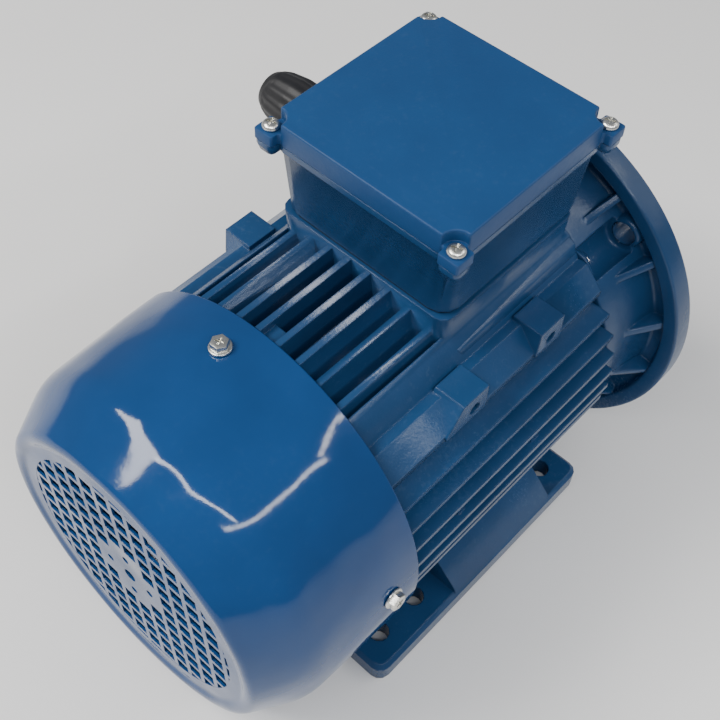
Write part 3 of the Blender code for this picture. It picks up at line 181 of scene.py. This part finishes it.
castingPaint = {"dark": (0.009, 0.040, 0.106), "light": (0.012, 0.054, 0.143), "driftScale": 14.0,
                "speckScale": 420.0, "grainScale": 760.0, "waveScale": 150.0, "waveDepth": 0.00014,
                "grainDepth": 0.00009, "dust": 0.10, "dustColour": (0.16, 0.24, 0.32),
                "rough": 0.15, "roughSwing": 0.14, "specular": 0.35, "coat": 0.0, "coatRough": 0.3,
                "edge": 0.0010}
lidPaint = {**castingPaint, "dark": (0.0095, 0.044, 0.130), "light": (0.0105, 0.053, 0.152), "dust": 0.03,
            "rough": 0.30, "roughSwing": 0.12, "waveScale": 260.0, "waveDepth": 0.00012,
            "grainDepth": 0.00005, "specular": 0.2, "coat": 0.04, "edge": 0.0005}
cowlPaint = {**castingPaint, "dark": (0.006, 0.041, 0.136), "light": (0.0075, 0.051, 0.168), "dust": 0.02,
             "rough": 0.03, "roughSwing": 0.05, "waveScale": 30.0, "waveDepth": 0.0026,
             "grainScale": 420.0, "grainDepth": 0.00002, "specular": 0.4, "edge": 0.0004}
zincPlate = {"light": (0.80, 0.79, 0.74), "dark": (0.58, 0.57, 0.52), "rough": 0.16, "stainScale": 260.0,
             "scratchScale": 900.0, "stretch": (1, 1, 1), "depth": 0.00002}
groundSteel = {**zincPlate, "light": (0.66, 0.66, 0.66), "dark": (0.5, 0.5, 0.51), "rough": 0.18,
               "stainScale": 60.0, "stretch": (30, 1, 1), "scratchScale": 60.0, "depth": 0.00001}

materials = {
    "casting": paintFinish("castingPaint", castingPaint),
    "lid": paintFinish("lidPaint", lidPaint),
    "cowl": paintFinish("cowlPaint", cowlPaint),
    "zinc": metalFinish("zincPlate", zincPlate),
    "steel": metalFinish("groundSteel", groundSteel),
    "lamination": metalFinish("laminationSteel", {**groundSteel, "light": (0.34, 0.34, 0.36),
                                                  "dark": (0.22, 0.22, 0.24), "rough": 0.4,
                                                  "stretch": (400, 1, 1), "scratchScale": 8.0}),
    "aluminium": metalFinish("castAluminium", {**zincPlate, "light": (0.66, 0.66, 0.67),
                                               "dark": (0.5, 0.5, 0.51), "rough": 0.38}),
    "copper": metalFinish("windingCopper", {**zincPlate, "light": (0.62, 0.27, 0.12),
                                            "dark": (0.42, 0.15, 0.06), "rough": 0.28}),
    "brass": metalFinish("brassParts", {**zincPlate, "light": (0.74, 0.54, 0.22),
                                        "dark": (0.55, 0.38, 0.14), "rough": 0.22}),
    "plastic": plasticFinish("blackPlastic", {"dark": (0.006, 0.006, 0.007), "light": (0.012, 0.012, 0.014),
                                              "cloudScale": 60.0, "grainScale": 1500.0, "rough": 0.42,
                                              "depth": 0.00004}),
    "rubber": plasticFinish("blackRubber", {"dark": (0.008, 0.008, 0.008), "light": (0.02, 0.02, 0.02),
                                            "cloudScale": 80.0, "grainScale": 900.0, "rough": 0.65,
                                            "depth": 0.00005}),
    "phenolic": plasticFinish("boardResin", {"dark": (0.10, 0.035, 0.018), "light": (0.17, 0.07, 0.035),
                                             "cloudScale": 120.0, "grainScale": 700.0, "rough": 0.3,
                                             "depth": 0.00004}),
    "sleeve": plasticFinish("leadSleeve", {"dark": (0.42, 0.36, 0.24), "light": (0.55, 0.5, 0.38),
                                           "cloudScale": 200.0, "grainScale": 1100.0, "rough": 0.6,
                                           "depth": 0.0001}),
}
nodeFinish = {
    "blue_paint": "casting", "cowl_paint": "cowl", "zinc": "zinc", "bright_steel": "steel",
    "lamination": "lamination", "cast_aluminium": "aluminium", "copper": "copper", "brass": "brass",
    "black_plastic": "plastic", "black_rubber": "rubber", "phenolic": "phenolic", "sleeve": "sleeve",
}
print("materials ready")


# shape helpers

# turn a profile of (x, radius) about the shaft; an open one ends on the shaft
def spun(profile, steps, closed=True):
    shape = bmesh.new()
    verts = [shape.verts.new((x, 0, radius)) for x, radius in profile]
    edges = [shape.edges.new(pair) for pair in zip(verts, verts[1:])]
    if closed:
        edges.append(shape.edges.new((verts[-1], verts[0])))
    bmesh.ops.spin(shape, geom=verts + edges, cent=(0, 0, 0), axis=(1, 0, 0), dvec=(0, 0, 0),
                   angle=2 * math.pi, steps=steps, use_merge=True)
    bmesh.ops.remove_doubles(shape, verts=shape.verts, dist=0.0005)
    return shape


# round the corners of a profile: each corner is (x, radius, rounding)
def arced(corners, steps=5):
    points = []
    for index, (x, y, rounding) in enumerate(corners):
        here = Vector((x, y))
        if not rounding or index in (0, len(corners) - 1):
            points.append((x, y))
            continue
        before = Vector(corners[index - 1][:2]) - here
        after = Vector(corners[index + 1][:2]) - here
        start = here + before.normalized() * rounding
        end = here + after.normalized() * rounding
        for step in range(steps + 1):
            t = step / steps
            spot = start * (1 - t) ** 2 + here * 2 * t * (1 - t) + end * t ** 2
            points.append((spot.x, spot.y))
    return points


# extrude a flat outline; axis z takes (x, y), y takes (x, z) and x takes (y, z)
def raised(outline, low, high, axis="z"):
    shape = bmesh.new()
    place = {"z": lambda u, v: (u, v, low), "y": lambda u, v: (u, low, v),
             "x": lambda u, v: (low, u, v)}[axis]
    way = {"z": (0, 0, 1), "y": (0, 1, 0), "x": (1, 0, 0)}[axis]
    face = shape.faces.new([shape.verts.new(place(u, v)) for u, v in outline])
    grown = bmesh.ops.extrude_face_region(shape, geom=[face])
    moved = [item for item in grown["geom"] if isinstance(item, bmesh.types.BMVert)]
    bmesh.ops.translate(shape, verts=moved, vec=Vector(way) * (high - low))
    bmesh.ops.recalc_face_normals(shape, faces=shape.faces)
    return shape


# bevel the edges that a test picks
def eased(shape, width, segments, chosen):
    edges = [edge for edge in shape.edges if chosen(edge)]
    bmesh.ops.bevel(shape, geom=edges, offset=width, segments=segments, profile=0.5, material=-1,
                    affect="EDGES", clamp_overlap=True)
    return shape


def upright(edge):
    return abs((edge.verts[0].co - edge.verts[1].co).normalized().z) > 0.99


def creased(degrees):
    limit = math.radians(degrees)
    return lambda edge: len(edge.link_faces) == 2 and edge.calc_face_angle(0) > limit


# put several shapes into one
def gathered(shapes):
    whole = bmesh.new()
    for shape in shapes:
        bmesh.ops.recalc_face_normals(shape, faces=shape.faces)
        scrap = bpy.data.meshes.new("scrap")
        shape.to_mesh(scrap)
        shape.free()
        whole.from_mesh(scrap)
        bpy.data.meshes.remove(scrap)
    return whole


# turn a shape about the shaft
def turned(shape, degrees):
    bmesh.ops.rotate(shape, verts=shape.verts, cent=(0, 0, 0),
                     matrix=Matrix.Rotation(math.radians(degrees), 3, "X"))
    return shape


# point a shape made along x in a direction, then move it
def aimed(shape, direction, spot):
    turn = Vector((1, 0, 0)).rotation_difference(Vector(direction)).to_matrix().to_4x4()
    bmesh.ops.transform(shape, matrix=Matrix.Translation(spot) @ turn, verts=shape.verts)
    return shape


def asObject(name, shape):
    mesh = bpy.data.meshes.new(name)
    shape.to_mesh(mesh)
    shape.free()
    piece = bpy.data.objects.new(name, mesh)
    bpy.context.scene.collection.objects.link(piece)
    return piece


# cut tools out of a shape and return the result as a shape
def carved(name, shape, tools, operation="DIFFERENCE"):
    body = asObject(name, shape)
    cutters = []
    for tool in tools:
        bmesh.ops.recalc_face_normals(tool, faces=tool.faces)
        cutter = asObject("cutter", tool)
        modifier = body.modifiers.new("cut", "BOOLEAN")
        modifier.operation = operation
        modifier.solver = "EXACT"
        modifier.object = cutter
        cutters.append(cutter)
    solid = body.evaluated_get(bpy.context.evaluated_depsgraph_get())
    result = bmesh.new()
    result.from_mesh(solid.to_mesh())
    for item in [body] + cutters:
        bpy.data.objects.remove(item)
    return result


# make a shape a piece of the motor: scale it to metres, smooth it and let it ride
def finished(name, shape, finish, body, replaced=(), angle=35):
    bmesh.ops.recalc_face_normals(shape, faces=shape.faces)
    bmesh.ops.transform(shape, matrix=toWorld, verts=shape.verts)
    piece = asObject(name, shape)
    piece.data.shade_smooth()
    piece.data.set_sharp_from_angle(angle=math.radians(angle))
    piece.data.materials.append(materials[finish])
    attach(piece, body)
    if replaced:
        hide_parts(*replaced)
    return piece


# a copy of a CAD node with its facets merged and shaded round
def smoothed(node, finish, body, angle=32):
    shape = bmesh.new()
    shape.from_mesh(nodes[node].data)
    bmesh.ops.remove_doubles(shape, verts=shape.verts, dist=0.000002)
    bmesh.ops.dissolve_limit(shape, angle_limit=math.radians(0.5), verts=shape.verts, edges=shape.edges)
    piece = asObject(node + "Skin", shape)
    piece.data.shade_smooth()
    piece.data.set_sharp_from_angle(angle=math.radians(angle))
    piece.data.materials.append(materials[finish])
    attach(piece, body)
    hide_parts(node)
    return piece


# every CAD node takes a real finish

for name, node in nodes.items():
    current = node.data.materials[0].name if node.data.materials else ""
    chosen = next((finish for ending, finish in nodeFinish.items() if current.endswith(ending)), "steel")
    if not node.data.materials:
        node.data.materials.append(materials[chosen])
    for slot in range(len(node.data.materials)):
        node.data.materials[slot] = materials[chosen]
print("CAD nodes finished:", len(nodes))


# fan cowl

cowl = {"edge": -181.0, "bevelStart": -241.0, "face": -264.0, "disc": -262.7, "radius": 87.5, "wall": 1.2,
        "rim": 73.3, "perforated": 60.0, "steps": 128}
lattice = {"pitch": 9.5, "bar": 2.6, "cells": 14, "turn": -3.0, "reach": 62.0, "hub": 2.5,
           "bore": 3.3, "smallBore": 1.8, "smallCircle": 12.4}


def cowlShell():
    rim, radius, wall = cowl["rim"], cowl["radius"], cowl["wall"]
    face, disc, start = cowl["face"], cowl["disc"], cowl["bevelStart"]
    outside = arced([(disc, cowl["perforated"], 0), (disc, rim - 6.6, 1.4), (face, rim - 3.9, 1.5),
                     (face, rim + 0.2, 2.4), (start, radius - 1.2, 7.0), (cowl["edge"] - 18, radius, 3.0),
                     (cowl["edge"] - 0.5, radius, 0), (cowl["edge"], radius - 0.4, 0)])
    inside = [(cowl["edge"], radius - wall), (cowl["edge"] - 18, radius - wall), (start, radius - 1.2 - wall),
              (face + 5.4, rim - 0.6), (face + 2.2, rim - 2.4), (disc + wall, rim - 4.0),
              (disc + wall, cowl["perforated"])]
    return spun(outside + inside, cowl["steps"])


# square holes on a lattice; the bars hold a plain hub with five bores
def grille():
    size = lattice["pitch"] * lattice["cells"]
    sheet = bmesh.new()
    bmesh.ops.create_grid(sheet, x_segments=lattice["cells"], y_segments=lattice["cells"], size=size / 2)
    far = [face for face in sheet.faces if face.calc_center_median().length > cowl["rim"] - 6.5]
    bmesh.ops.delete(sheet, geom=far, context="FACES")
    hubReach = lattice["hub"] * lattice["pitch"]
    openCells = [face for face in sheet.faces
                 if face.calc_center_median().length < lattice["reach"] + 2
                 and abs(face.calc_center_median().x) + abs(face.calc_center_median().y) > hubReach]
    bmesh.ops.inset_individual(sheet, faces=openCells, thickness=lattice["bar"] / 2, use_even_offset=True)
    bmesh.ops.delete(sheet, geom=openCells, context="FACES")
    sheetBack = bmesh.ops.extrude_face_region(sheet, geom=list(sheet.faces))
    moved = [item for item in sheetBack["geom"] if isinstance(item, bmesh.types.BMVert)]
    bmesh.ops.translate(sheet, verts=moved, vec=(0, 0, -cowl["wall"]))
    bmesh.ops.recalc_face_normals(sheet, faces=sheet.faces)
    bores = [(0, 0, lattice["bore"])]
    bores += [(lattice["smallCircle"] * math.cos(turn), lattice["smallCircle"] * math.sin(turn),
               lattice["smallBore"]) for turn in (0, math.pi / 2, math.pi, 3 * math.pi / 2)]
    drills = []
    for x, y, radius in bores:
        drill = bmesh.new()
        bmesh.ops.create_cone(drill, cap_ends=True, segments=24, radius1=radius, radius2=radius, depth=8)
        bmesh.ops.translate(drill, verts=drill.verts, vec=(x, y, 0))
        drills.append(drill)
    sheet = carved("grille", sheet, drills)
    eased(sheet, 0.25, 1, creased(60))
    bmesh.ops.rotate(sheet, verts=sheet.verts, cent=(0, 0, 0), matrix=Matrix.Rotation(math.pi / 2, 3, "Y"))
    bmesh.ops.translate(sheet, verts=sheet.verts, vec=(cowl["disc"] + cowl["wall"] + 0.05, 0, 0))
    return turned(sheet, lattice["turn"])


finished("cowlShell", cowlShell(), "cowl", "housing", ["fan_cowl"])
finished("cowlGrille", grille(), "cowl", "housing")
print("cowl done")


# screws

screwLooks = {
    "lid": {"head": 3.8, "height": 2.6, "cross": 2.3, "crossWidth": 0.9, "crossDepth": 1.3, "cadHeight": 3.2},
    "cowl": {"washer": 4.9, "washerHeight": 0.9, "flats": 3.5, "height": 3.8, "cross": 2.0,
             "crossWidth": 0.9, "crossDepth": 1.6, "seat": (-197.5, 0, 87.8), "turns": (-5, 85, -95)},
}


def crossTool(look, top):
    half, width, depth = look["cross"], look["crossWidth"] / 2, look["crossDepth"]
    bars = []
    for turn in (0, 90):
        outline = [(-width, -half), (width, -half), (width, half), (-width, half)]
        bars.append(turned(raised(outline, top - depth, top + 2, "x"), turn + 20))
    return bars


# a pan head with a cross recess, made along x with its seat at x = 0
def panScrew(look):
    head, top = look["head"], look["height"]
    profile = arced([(-3.0, 0, 0), (-3.0, 1.9, 0), (0, 1.9, 0), (0, head - 0.3, 0.2), (0.5, head, 0.4),
                     (top * 0.62, head * 0.96, 0.9), (top, head * 0.55, 1.0), (top, 0, 0)])
    return carved("panScrew", spun(profile, 40, closed=False), crossTool(look, top))


# a hexagon head on a washer face, with a cross recess
def hexScrew(look):
    top = look["height"]
    rise = look["washerHeight"]
    washer = spun(arced([(-3.0, 0, 0), (-3.0, 1.9, 0), (0, 1.9, 0), (0, look["washer"], 0.2),
                         (rise, look["washer"], 0.4), (rise + 0.3, look["flats"] - 0.5, 0),
                         (rise + 0.3, 0, 0)]),
                  40, closed=False)
    across = look["flats"] / math.cos(math.pi / 6)
    corners = [(across * math.cos(math.pi / 3 * side), across * math.sin(math.pi / 3 * side))
               for side in range(6)]
    hexagon = eased(raised(corners, 0.6, top, "x"), 0.45, 2,
                    lambda edge: all(v.co.x > top - 0.1 for v in edge.verts))
    return gathered([washer, carved("hexagon", hexagon, crossTool(look, top))])


for number in range(1, 5):
    low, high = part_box("lid_screw_%d" % number)
    spot = toWorld.inverted() @ ((low + high) / 2)
    seat = (toWorld.inverted() @ high).z - screwLooks["lid"]["cadHeight"]
    shape = aimed(panScrew(screwLooks["lid"]), (0, 0, 1), (spot.x, spot.y, seat))
    finished("lidScrewHead%d" % number, shape, "zinc", "housing", ["lid_screw_%d" % number])
for number, turn in enumerate(screwLooks["cowl"]["turns"], 1):
    shape = aimed(hexScrew(screwLooks["cowl"]), (0, 0, 1), screwLooks["cowl"]["seat"])
    finished("cowlScrewHead%d" % number, turned(shape, turn), "zinc", "housing", ["cowl_screw_%d" % number])
print("screws done")


# terminal box and its lid

lid = {"centre": -80.8, "size": 98.5, "bottom": 126.0, "seat": 131.1, "top": 136.7, "screwInset": 1.1,
       "ear": 5.0, "notch": 6.3, "lap": 0.3}


# walk round a square and let corner(sx, sy) give the points of each corner
def square(corner):
    points = []
    for sx, sy in ((1, 1), (-1, 1), (-1, -1), (1, -1)):
        fresh = corner(sx, sy)
        points += fresh if sx * sy > 0 else fresh[::-1]
    return [(lid["centre"] + x, y) for x, y in points]


def earOutline(half):
    outer = lid["size"] / 2 - lid["screwInset"] + half
    inner = lid["size"] / 2 - lid["screwInset"] - half
    reach = lid["size"] / 2 - lid["lap"]
    return square(lambda sx, sy: [(sx * reach, sy * inner), (sx * outer, sy * inner),
                                  (sx * outer, sy * outer), (sx * inner, sy * outer),
                                  (sx * inner, sy * reach)])


def notchOutline():
    reach = lid["size"] / 2
    middle = reach - lid["screwInset"]
    start = math.asin(lid["screwInset"] / lid["notch"])
    steps = 10

    def corner(sx, sy):
        turns = [-math.pi / 2 + start - (math.pi / 2 + 2 * start) * step / steps for step in range(steps + 1)]
        return [(sx * (middle + lid["notch"] * math.cos(turn)), sy * (middle + lid["notch"] * math.sin(turn)))
                for turn in turns]
    return square(corner)


def lidShape():
    low, seat, top = lid["bottom"], lid["seat"], lid["top"]
    plate = eased(raised(earOutline(lid["ear"]), low, seat), 1.1, 3, upright)
    eased(plate, 0.5, 2, lambda edge: all(v.co.z > seat - 0.1 for v in edge.verts))
    crown = eased(raised(notchOutline(), low, top), 1.0, 3, lambda edge: upright(edge) and creased(50)(edge))
    eased(crown, 1.1, 3, lambda edge: all(v.co.z > top - 0.1 for v in edge.verts) and creased(50)(edge))
    well = lid["size"] / 2 - 4.2
    hollows = [raised(square(lambda sx, sy: [(sx * well, sy * well)]), low - 5, low + rise)
               for rise in (1.2, 1.5)]
    return gathered([carved("plate", plate, hollows[:1]), carved("crown", crown, hollows[1:])])


finished("lidCover", lidShape(), "lid", "housing", ["terminal_box_lid"], 40)
smoothed("terminal_box", "casting", "housing")
print("terminal box done")


# castings that keep their CAD shape

for node in ("stator_frame", "fan_end_shield", "foot_left", "foot_right"):
    smoothed(node, "casting", "housing")


# raised chamfer along the upper rails, beside the pedestal

rail = {"start": -119.0, "end": -40.3, "top": (46.4, 70.9), "edge": (50.5, 68.5), "foot": (52.0, 62.5),
        "dip": 3.0, "lean": -2.0}


def railTrim(side):
    outline = [rail["top"], rail["edge"], rail["foot"], (rail["top"][0], rail["foot"][1])]
    trim = raised([(side * y, z) for y, z in outline], rail["start"], rail["end"], "x")
    tip = [vert for vert in trim.verts if vert.co.x < rail["start"] + 1 and vert.co.z > rail["foot"][1] + 1]
    bmesh.ops.translate(trim, verts=tip, vec=(rail["lean"], 0, -rail["dip"]))
    return eased(trim, 0.7, 3, creased(30))


finished("railTrim", gathered([railTrim(1), railTrim(-1)]), "casting", "housing")
print("castings done")


# drive end flange

flange = {"radius": 100.0, "thickness": 11.5, "neck": -39.7, "boltCircle": 82.5, "boltHole": 6.0,
          "boss": 9.0, "bossFace": -11.3, "scoop": 9.6, "lug": 9.6, "lugPlace": 74.6, "steps": 128}


def flangeBody():
    thick, neck, radius = flange["thickness"], flange["neck"], flange["radius"]
    back = arced([(-45.5, 60.0, 0), (-45.5, 64.5, 0), (neck, 64.7, 0), (neck, 80.6, 1.0), (-27.0, 81.0, 4),
                  (-13.5, 82.6, 3), (-6.4, 84.5, 1.5), (-6.4, 90.4, 1.5), (-thick, 92.4, 1.0),
                  (-thick, radius, 1.2), (0, radius, 0.8), (0, 65.0, 0)])
    front = [(3.1, 65.0), (3.5, 64.6), (3.5, 58.0), (-8.0, 55.0), (-8.0, 33.0), (-4.0, 31.0), (-4.0, 20.3),
             (-12.4, 20.3), (-12.4, 15.0), (-15.3, 15.0), (-15.3, 26.0), (-30.6, 26.0), (-30.6, 32.0),
             (-17.0, 36.0), (-17.0, 59.0)]
    return spun(back + front, flange["steps"])


# a straight or tapered rod along x
def rod(first, second, depth):
    shape = bmesh.new()
    bmesh.ops.create_cone(shape, cap_ends=True, segments=32, radius1=first, radius2=second, depth=depth)
    bmesh.ops.rotate(shape, verts=shape.verts, cent=(0, 0, 0), matrix=Matrix.Rotation(math.pi / 2, 3, "Y"))
    return shape


# move a shape out to the bolt circle and turn it to one of the four corners
def cornered(shape, turn):
    bmesh.ops.translate(shape, verts=shape.verts, vec=(0, 0, flange["boltCircle"]))
    return turned(shape, 45 + 90 * turn)


def tieLug():
    lug = rod(flange["lug"], 2.0, 12.0)
    bmesh.ops.scale(lug, verts=lug.verts, vec=(1, 1.25, 1))
    return eased(lug, 1.2, 3, creased(60))


def flangeShape():
    thick = flange["thickness"]
    ribs = []
    for turn in range(16):
        outline = [(-27.0, 79.0), (-27.0, 80.2), (-thick + 0.3, 91.8), (-6.0, 91.8), (-6.0, 79.0)]
        rib = eased(raised(outline, -1.9, 1.9, "y"), 0.9, 2, creased(40))
        ribs.append(turned(rib, 11.25 + 22.5 * turn))
    bosses = []
    drills = []
    for turn in range(4):
        profile = arced([(-5.0, 0, 0), (flange["bossFace"], 0, 0),
                         (flange["bossFace"], flange["boss"] - 1.2, 1.4), (-5.0, flange["boss"], 0)])
        boss = spun(profile, 32, closed=False)
        bosses.append(cornered(boss, turn))
        drill = rod(flange["boltHole"], flange["boltHole"], 60)
        drills.append(cornered(drill, turn))
    lugs = []
    for turn in range(4):
        lug = tieLug()
        bmesh.ops.translate(lug, verts=lug.verts, vec=(-39.6 + 6.0, 0, flange["lugPlace"]))
        tip = [vert for vert in lug.verts if vert.co.x > -33]
        bmesh.ops.translate(lug, verts=tip, vec=(0, 0, -4.0))
        lugs.append(turned(lug, 45 + 90 * turn))
    scoops = []
    for turn in range(4):
        scoop = spun(arced([(-60, 0, 0), (-60, flange["scoop"], 0),
                            (flange["bossFace"], flange["scoop"], 2.0), (flange["bossFace"], 0, 0)]),
                     40, closed=False)
        scoops.append(cornered(scoop, turn))
    whole = carved("flange", flangeBody(), [gathered(scoops)])
    whole = carved("flange", whole, [gathered(bosses)], "UNION")
    whole = carved("flange", whole, [gathered(drills)])
    return gathered([whole] + ribs + lugs)


finished("flangeCasting", flangeShape(), "casting", "housing", ["drive_end_flange"], 32)
print("flange done")


# cable gland

gland = {"station": -93.4, "level": 107.0, "seat": 50.45, "radius": 13.0, "hexagon": 7.0, "tip": 85.45,
         "flutes": 14, "depth": 0.05}


def glandBody():
    seat, radius = gland["seat"], gland["radius"]
    end = seat + gland["hexagon"]
    return spun(arced([(seat - 1, 6.5, 0), (seat - 1, 12.6, 0), (seat, radius, 0.2), (end, radius, 0.4),
                       (end, 10.2, 0), (seat + 14, 10.0, 0), (seat + 14, 6.5, 0)]), 6)


def domeNut():
    start, tip = gland["seat"] + gland["hexagon"] + 0.3, gland["tip"]
    outer = arced([(start, 10.3, 0), (start, 12.9, 0.5), (start + 11.5, 12.9, 1.5), (tip - 6, 11.3, 2.5),
                   (tip - 0.6, 8.4, 0.8), (tip, 7.0, 0.3), (tip - 1.0, 6.5, 0), (tip - 4, 6.5, 0),
                   (tip - 4, 10.3, 0)])
    nut = spun(outer, gland["flutes"] * 6)
    for vert in nut.verts:
        radius = math.hypot(vert.co.y, vert.co.z)
        if radius > 10.6 and vert.co.x < tip - 5:
            wave = math.cos(gland["flutes"] * math.atan2(vert.co.z, vert.co.y))
            grip = 1 - gland["depth"] * (1 - wave) / 2
            vert.co.y *= grip
            vert.co.z *= grip
    return nut


spot = (gland["station"], 0, gland["level"])
finished("glandBase", aimed(glandBody(), (0, 1, 0), spot), "plastic", "housing", ["gland_body"])
finished("glandNut", aimed(domeNut(), (0, 1, 0), spot), "plastic", "housing", ["gland_dome_nut"], 50)
print("gland done")


# shaft, fan and seal

smoothed("rotor_shaft", "steel", "rotor")
smoothed("cooling_fan", "plastic", "rotor")
smoothed("shaft_seal", "rubber", "housing")
print("shaft and fan done")


# floor, light and camera

studio = {"floor": (0.83, 0.82, 0.80), "floorLight": (0.88, 0.872, 0.858), "world": (0.85, 0.9, 1.0),
          "worldStrength": 0.28}


# a pale table top that the flange's rim and the far ends of the feet rest on
def floorShape():
    plane = bmesh.new()
    bmesh.ops.create_grid(plane, x_segments=8, y_segments=8, size=4.0)
    rimX = flangeFace - 0.0115 / 2
    footX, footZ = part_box("foot_left")[0].x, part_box("foot_left")[0].z
    slope = math.atan2(footZ, rimX - footX)
    bmesh.ops.rotate(plane, verts=plane.verts, cent=(0, 0, 0), matrix=Matrix.Rotation(slope, 3, "Y"))
    bmesh.ops.translate(plane, verts=plane.verts, vec=(rimX, 0, -0.0003))
    return plane


floor = asObject("tableTop", floorShape())
tableFinish = Finish("tableTop", {"Metallic": 0.0})
patch = tableFinish.noise(2.2, 4.0)
tableFinish.give("Base Color", tableFinish.mix(tableFinish.ramp(patch, 0.3, 0.7), (*studio["floor"], 1),
                                               (*studio["floorLight"], 1)))
tableFinish.give("Roughness", patch * 0.2 + 0.38)
floor.data.materials.append(tableFinish.material)

world = bpy.data.worlds.new("studio")
world.use_nodes = True
world.node_tree.nodes["Background"].inputs["Color"].default_value = (*studio["world"], 1)
world.node_tree.nodes["Background"].inputs["Strength"].default_value = studio["worldStrength"]
bpy.context.scene.world = world


def areaLight(name, spot, target, size, power, tint=(1, 1, 1)):
    data = bpy.data.lights.new(name, "AREA")
    data.shape = "RECTANGLE"
    data.size, data.size_y = size
    data.energy = power
    data.color = tint
    lamp = bpy.data.objects.new(name, data)
    lamp.location = spot
    lamp.rotation_euler = (Vector(target) - Vector(spot)).to_track_quat("-Z", "Y").to_euler()
    bpy.context.scene.collection.objects.link(lamp)


areaLight("ceilingPanel", (-0.9, 0.9, 1.6), (0, 0, 0.1), (1.2, 0.5), 38, (1.0, 0.98, 0.95))
areaLight("tubeNear", (-0.75, -0.35, 1.5), (-0.05, 0, 0.1), (1.6, 0.1), 12, (0.97, 0.98, 1.0))
areaLight("tubeFar", (-0.2, -1.1, 1.3), (0, 0, 0.1), (1.6, 0.1), 9, (0.97, 0.98, 1.0))
areaLight("frontFill", (1.3, -0.9, 1.0), (0, 0, 0.1), (1.0, 1.0), 4, (1.0, 0.99, 0.97))
areaLight("tubeRail", (0.9, -0.9, 1.45), (0, 0, 0.1), (0.9, 0.07), 4, (1.0, 0.99, 0.97))

view = bpy.data.cameras.new("view")
view.lens, view.sensor_width = 59.02, 36.0
view.shift_x, view.shift_y = 0.0147, -0.0694
camera = bpy.data.objects.new("view", view)
right = Vector((0.68387, -0.72917, 0.02537))
up = Vector((0.5558, 0.5431, 0.6294))
ahead = Vector((0.47270, 0.41632, -0.77668))
axes = Matrix((right, up, -ahead)).transposed().to_4x4()
camera.matrix_world = Matrix.Translation((-0.26357, -0.21018, 0.55125)) @ axes
bpy.context.scene.collection.objects.link(camera)
bpy.context.scene.camera = camera
print("studio ready")
